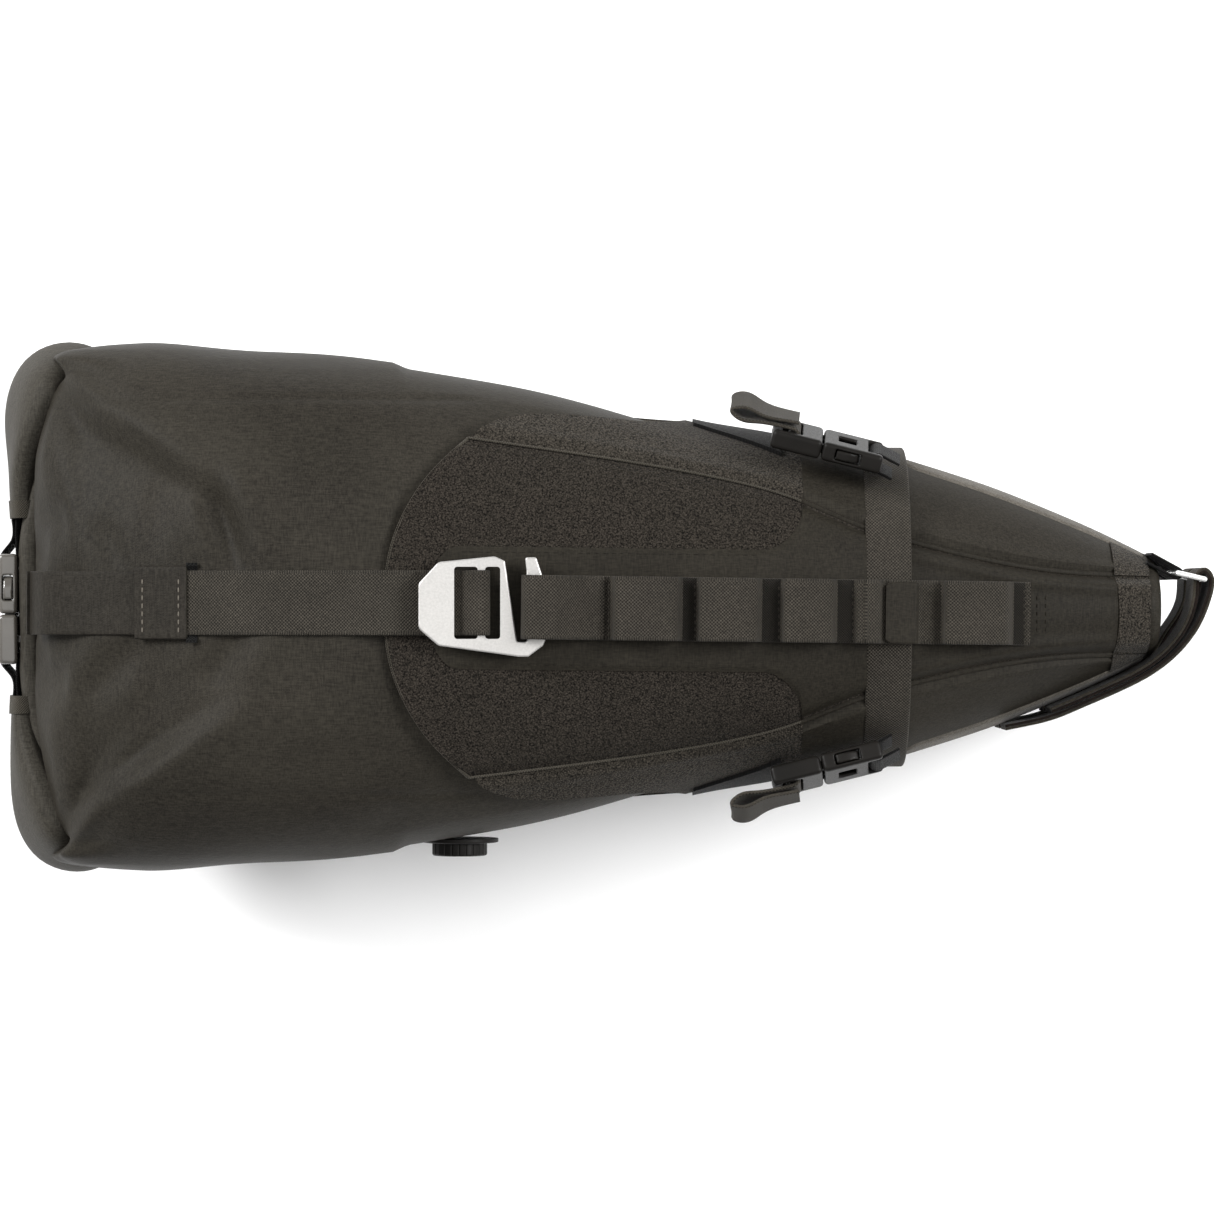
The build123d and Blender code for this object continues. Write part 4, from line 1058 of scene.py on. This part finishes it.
def build_compression():
    bar_z = box_of("g_hook")[0][2] + 2.6
    rows = lambda xs, lift: [(x, STRAP_Y, float(strap_surface(x)) + lift) for x in xs]
    line = rows((-163, -140, -124, -112, -104, -99), 1.0)
    line += [(-94, STRAP_Y, float(strap_surface(-99)) + 2.8), (-89, STRAP_Y, float(strap_surface(-82)) + 0.7)]
    line += rows((-82, -72, -62, -57), 1.1) + [(HOOK_BAR_X - 4.5, STRAP_Y, bar_z - TURN_R - 0.35)]
    under = path_through(line + [(HOOK_BAR_X, STRAP_Y, bar_z - TURN_R)], 130)
    turn = np.radians(np.linspace(-90, 90, 17))[1:-1]
    arc = [(HOOK_BAR_X + TURN_R * math.cos(a), STRAP_Y, bar_z + TURN_R * math.sin(a)) for a in turn]
    back = [(HOOK_BAR_X, STRAP_Y, bar_z + TURN_R), (-52.2, STRAP_Y, bar_z + TURN_R - 1.7)]
    back = path_through(back + rows((-56.8,), 2.85) + rows((-63, -72), 2.55), 30)
    line = np.concatenate([under, arc, back])
    dress(strap("compression_web", line, (0, 1, 0), WEB_HALF, 1.2, columns=24), "web", "compression_strap")


def build_rear_band():
    """Smooth band over the rear end, its doubled patch with two stitch rows, and the keeper."""
    band, patch = np.linspace(-227.4, -180, 60), np.linspace(-182.5, -162, 30)
    for name, x, forward, lift, half, thick, columns, *nodes in (
            ("rear_band", band, 0.0, 0.8, 12.4, 1.2, 20, "smooth_band"),
            ("doubled_patch", patch, 0.0, 2.1, 14.0, 1.3, 24, "band_patch"),
            ("patch_under_layer", patch, 2.0, 1.0, 14.3, 1.0, 24)):
        line = np.stack([x + forward, np.full_like(x, STRAP_Y), top_z(x, STRAP_Y) + lift], 1)
        dress(strap(name, line, (0, 1, 0), half, thick, conform=True, columns=columns), "band", *nodes)
    y = np.linspace(STRAP_Y - 11.5, STRAP_Y + 11.5, 20)
    runs = [row_across(x, y, top_z(x, y) + 2.75) for x in (-179.6, -165.2)]
    dress(stitches("patch_stitches", runs, length=2.0, gap=1.1, radius=0.3), "thread")
    y = np.linspace(STRAP_Y - 15.4, STRAP_Y + 15.4, 30)
    over = 0.42 + 1.5 * fade(np.abs(y - STRAP_Y), 12.8, 14.4)
    line = np.stack([np.full_like(y, KEEPER_X), y, top_z(KEEPER_X, y) + over], 1)
    dress(strap("keeper_loop", line, (1, 0, 0), 2.2, 0.6, columns=5), "black_web", "strap_keeper")


LOOPS = [  # where a loop's rear tack, the end of its crown and its front tack are, and its rise
    (2.4, 26.6, 34.4, 7.8), (35.2, 57.2, 66.8, 7.6), (67.6, 86.4, 95.4, 7.4), (96.0, 103.8, 107.6, 5.0),
    (130.6, 155.8, 163.0, 7.4)]
DAISY_X = (-33.0, 165.0)
DAISY_SLOPE = math.tan(math.radians(-0.75))


def daisy_z(x):
    x = np.asarray(x, float)
    crossing = 1.8 * (fade(x, 97.0, 99.5) - fade(x, 119.0, 121.5))
    return top_z(x, 0.0) + PANEL_OUT + 1.0 + crossing + 1.0


def daisy_y(x):
    return (x - DAISY_X[0]) * DAISY_SLOPE


def daisy_strap(name, points, half=12.3, thick=1.2, look="web", nodes=(), **shape):
    """Webbing along the chain through x, z points, or through points already given in full."""
    line = np.asarray(points, float)
    if line.shape[1] == 2:
        line = path_through([(x, 0.0, z) for x, z in points], 60)
        line[:, 1] = daisy_y(line[:, 0])
    dress(strap(name, line, (-DAISY_SLOPE, 1, 0), half, thick, **{"columns": 22, **shape}), look, *nodes)


def build_daisy():
    x = np.linspace(*DAISY_X, 180)
    daisy_strap("daisy_base", np.stack([x, daisy_y(x), daisy_z(x)], 1), 12.4, nodes=["daisy_chain"])
    over = box_of("g_hook")[1][2] + 2.0
    start = DAISY_X[0] + 0.6
    foot = float(daisy_z(start))
    daisy_strap("daisy_loop_0", [
        (start, foot), (start + 0.1, foot + 3.4), (start + 1.7, over - 0.4), (start + 6, over + 1.0),
        (start + 12, over), (start + 20, foot + 4.6), (-4.0, float(daisy_z(-4)) + 1.8),
        (-1.2, float(daisy_z(-1.2)) + 1.0)])
    tacks = [0.6]
    for i, (a, crown, b, rise) in enumerate(LOOPS):
        lift = 1.05
        steps = [(a - 0.9, lift), (a + 0.3, lift + 1.4), (a + 1.2, rise * 0.8), (a + 4.5, rise * 0.98),
                 (crown - 4.0, rise), (crown - 0.4, rise * 0.84), (crown + 0.9, lift + 2.0),
                 (crown + 2.2, lift + 0.2), (b, lift)]
        daisy_strap(f"daisy_loop_{i + 1}", [(x, float(daisy_z(x)) + up) for x, up in steps])
        tacks += [b - 0.6]
        # A dark strip over the base webbing from just past the crown to the front tack: painted shade in the
        # gap in front of the loop.
        if b - crown > 5:
            x = np.linspace(crown + 1.6, b - 0.2, 10)
            line = np.stack([x, daisy_y(x), daisy_z(x) + lift + 0.55], 1)
            daisy_strap(f"bar_tack_{i + 1}", line, 12.1, 0.5, "tack", columns=20)
    y = np.linspace(-11.3, 11.3, 16)
    runs = [row_across(x, y + daisy_y(x), float(daisy_z(x)) + (1.75 if x < 164 else 0.65))
            for x in tacks + [DAISY_X[1] - 1.2]]
    dress(stitches("daisy_stitches", runs, length=1.7, gap=1.0, radius=0.26), "web")
    x = np.linspace(107.5, 120.0, 24)
    line = np.stack([x, daisy_y(x) - 0.4, daisy_z(x) + 2.6], 1)
    round_end = np.sqrt(np.clip(1 - ((x[0] + 4 - x) / 4.4).clip(0, 1) ** 2, 0.0, 1)) * 0.22 + 0.78
    daisy_strap("smooth_tab", line, 12.0, 1.4, "overlay", ["daisy_tab"], columns=20, taper=round_end)
    y = np.linspace(-10, 10, 12) + daisy_y(171)
    runs = [row_across(x, y, top_z(x, y) + PANEL_OUT + 0.75) for x in (168.0, 171.5)]
    dress(stitches("overlay_stitches", runs, length=1.9, gap=1.2, radius=0.3), "overlay")


def build_cross_strap():
    """Rail strap over the top, down both sides to the buckles."""
    half_x = 8.85
    middle = 109.15
    left = ring(middle, PANEL_OUT + 2.1, 90, -4, 60)
    line = np.concatenate([left[::-1], (left * (1, -1, 1))[1:]])
    dress(strap("rail_strap", line, (1, 0, 0), half_x, 1.6, columns=16), "web", "cross_strap")


# ---- side buckles ----
RAIL_AT = (83.8, 63.6, 124.5)
RAIL_HEADING = math.radians(14)
RAIL_LEAN = math.radians(14)
SOCKET_LENGTH = 24.0


def rail_axes(side):
    x, y, z = RAIL_AT
    ahead, aside = math.cos(RAIL_HEADING), math.sin(RAIL_HEADING)
    level = math.cos(RAIL_LEAN)
    out = np.array([aside * level, side * ahead * level, math.sin(RAIL_LEAN)])
    along = np.array([ahead, -side * aside, 0.0])
    return np.array([x, side * y, z]), along, np.cross(out, along), out


def in_rail_frame(side, points):
    origin, along, across, out = rail_axes(side)
    p = np.asarray(points, float)
    return origin + p[:, :1] * along + p[:, 1:2] * out, across


def build_rail_straps():
    for side, name in SIDES:
        turns = [(-9.9, -1.0), (-10.4, 3.9), (-16.0, 5.0), (-27.0, 4.9), (-35.4, 5.3), (-37.6, 7.2),
                 (-35.2, 9.2), (-26.0, 8.0), (-17.0, 7.4), (-11.0, 7.6)]
        plan = path_through(turns, 110)
        line, across = in_rail_frame(side, plan)
        lean = fade(-plan[:, 0], 12, 36)[:, None] * np.array([0.0, side * -0.12, 0.0])
        line = line + lean * 2.0
        across = across * np.sign(across[2]) + lean
        tail = strap(f"loose_tail_{name}", line, across, NARROW_HALF, 1.4, columns=18)
        dress(tail, "web", f"rail_tail_{name}")
        plan = racetrack_line((SOCKET_LENGTH - 1.95, 0.0), (SOCKET_LENGTH + 6.0, -2.0), 3.2)
        line, across = in_rail_frame(side, plan)
        dress(strap(f"socket_loop_{name}", line, across, NARROW_HALF, 1.1), "black_web",
              f"rail_loop_{name}")
        x = np.linspace(34, 68, 50)[:, None]
        v = np.linspace(0, 1, 16)[None]
        z = 82.0 + (x - 34) * 0.46 + 20 * v
        panel(f"anchor_web_{name}", (x, side * side_y(x, z, PANEL_OUT + 1.7), z),
              (x, side * side_y(x, z, PANEL_OUT + 0.3), z), "black_web", f"rail_anchor_{name}")


# ---- seatpost straps ----
def post_lines(slack):
    inner = [(176.0, -41.0), (188.0, -36.0), (198.0, -31.6), (207.0, -27.5), (214.5, -23.2),
             (220.5, -18.6), (226.0 - slack, -12.8 + slack), (231.0 - slack, -4.2), (233.2, 4.0),
             (233.6, 9.6)]
    turn = [(234.4, 13.0), (236.7, 14.7), (239.0, 12.9)]
    outer = [(239.6, 8.0), (238.2, 2.6), (234.8 - slack, -5.8), (228.8 - slack, -14.6 + slack),
             (222.4, -21.0), (214.5, -26.6), (207.0, -30.6), (198.0, -34.7), (188.0, -39.0),
             (176.0, -43.8), (167.0, -46.0), (158.0, -47.8)]
    return inner + turn + outer


def build_post_straps():
    for level, slack in (("upper", 0.0), ("lower", 1.2)):
        z = box_of(f"post_strap_{level}").mean(0)[2]
        plan = path_through(post_lines(slack), 200)
        line = np.column_stack([plan, np.full(len(plan), z)])
        outward = np.cross(tangents(line), UP)
        for face, shift, nodes in (("loop", -0.55, [f"post_strap_{level}"]), ("hook", 0.6, [])):
            part = line + outward * shift
            piece = strap(f"post_{face}_face_{level}", part, UP, WEB_HALF, 1.15, columns=18)
            dress(piece, f"{face}_face", *nodes)
        low, high = box_of(f"post_ring_{level}")
        plan = racetrack_line((low[0] + 1.1, high[1] - 1.1), (215.0, 19.4), 1.95)
        loop = np.column_stack([plan, np.full(len(plan), z)])
        web = strap(f"ring_web_{level}", loop, UP, 12.3, 1.1, columns=18)
        dress(web, "black_web", f"ring_loop_{level}")


# ---- seams ----
def build_seam_stitches():
    runs = []
    seam, overlay = np.linspace(-52, 74, 120), np.linspace(-56, 58, 90)
    for x, half, grow, lean in ((seam, seam_half(seam) - 4.0, PANEL_OUT - 0.35, 0.4),
                                (overlay, 21.6, PANEL_OUT + 0.75, 0.0)):
        for side, _ in SIDES:
            y = drift(x) + side * half
            runs.append((np.stack([x, y, top_z(x, y, grow)], 1), (0, side * lean, 1)))
    dress(stitches("seam_stitches", runs, length=2.0, gap=1.2, radius=0.2), "overlay")


# ---- hardware ----
def build_mouldings():
    """Buckle halves and latch arms with the soft moulded edges that the CAD solids leave out."""
    for body, nodes in bodies_of("buckle", "latch_arm").items():
        for name in nodes:
            part = remeshed_copy(f"{name}_moulding", name, 0.42)
            soften(part, 7)
            apply_all(part)
            finish_shading(part, math.radians(75))
            # The rear buckle halves take the lighter plastic, whose base colour is a painted highlight.
            part.data.materials.append(LOOK["glossy" if name.startswith("rear") else "plastic"])
            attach(part, body)
            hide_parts(name)


def bodies_of(*words):
    """Bodies and those of their nodes whose names contain one of the words."""
    found = {}
    for body, nodes in frame["record"]["behaviour"]["bodies"].items():
        chosen = [n for n in nodes if any(w in n for w in words)]
        if chosen:
            found[body] = chosen
    return found


def dress_hardware():
    """Better materials on the CAD nodes that stay: hook, rings and valve."""
    looks = {"g_hook": "alloy", "post_ring_upper": "steel", "post_ring_lower": "steel",
             "valve_membrane": "rubber", "valve_base": "plastic", "valve_cap": "plastic"}
    for name, look in looks.items():
        node = frame["nodes"][name]
        node.data.materials.clear()
        node.data.materials.append(LOOK[look])


# ---- studio ----
def area_light(name, place, target, size, power, tint=(1, 1, 1)):
    light = bpy.data.lights.new(name, "AREA")
    light.shape = "RECTANGLE"
    light.size, light.size_y = size
    light.energy = power
    light.color = tint
    obj = placed(name, light)
    obj.location = place
    obj.rotation_euler = (Vector(target) - Vector(place)).to_track_quat("-Z", "Y").to_euler()


def build_studio():
    scene = bpy.context.scene
    scene.view_settings.view_transform = "Standard"
    world = bpy.data.worlds.new("studio")
    world.use_nodes = True
    world.node_tree.nodes["Background"].inputs[0].default_value = (1.0, 1.0, 1.0, 1.0)
    world.node_tree.nodes["Background"].inputs[1].default_value = 0.48
    scene.world = world
    area_light("key", (-2.5, 1.4, 1.8), (0, 0, 0.08), (1.4, 1.1), 160.0)
    area_light("front", (2.3, 0.6, 1.9), (0.1, 0, 0.08), (1.2, 1.0), 100.0)
    area_light("top", (0.3, 0.2, 3.2), (0, 0, 0.08), (3.2, 3.2), 31.0)
    bpy.ops.mesh.primitive_plane_add(size=8.0, location=(0, 0, -0.0004))
    floor = bpy.context.object
    floor.name = "floor"
    m = Nodes("studio_floor")
    grain = m.noise(m.space(), 30.0, 3.0)
    m.colour(grain, (0.93, 0.93, 0.93, 1.0), (0.95, 0.95, 0.95, 1.0))
    m.set(Roughness=0.9, Specular_IOR_Level=0.1)
    floor.data.materials.append(m.material)
    camera = bpy.data.cameras.new("camera")
    camera.sensor_width = 36.0
    camera.lens = 142.7
    camera.clip_end = 20.0
    eye = placed("camera", camera)
    eye.location = (0.0, 0.0, 2.0)
    scene.camera = eye


build_studio()
build_bag()
build_roll()
build_roll_webbing()
build_top_panel()
build_sides()
build_base()
build_nose()
build_bindings()
build_trims()
build_seam_beads()
build_compression()
build_rear_band()
build_daisy()
build_cross_strap()
build_rail_straps()
build_post_straps()
build_seam_stitches()
build_mouldings()
dress_hardware()
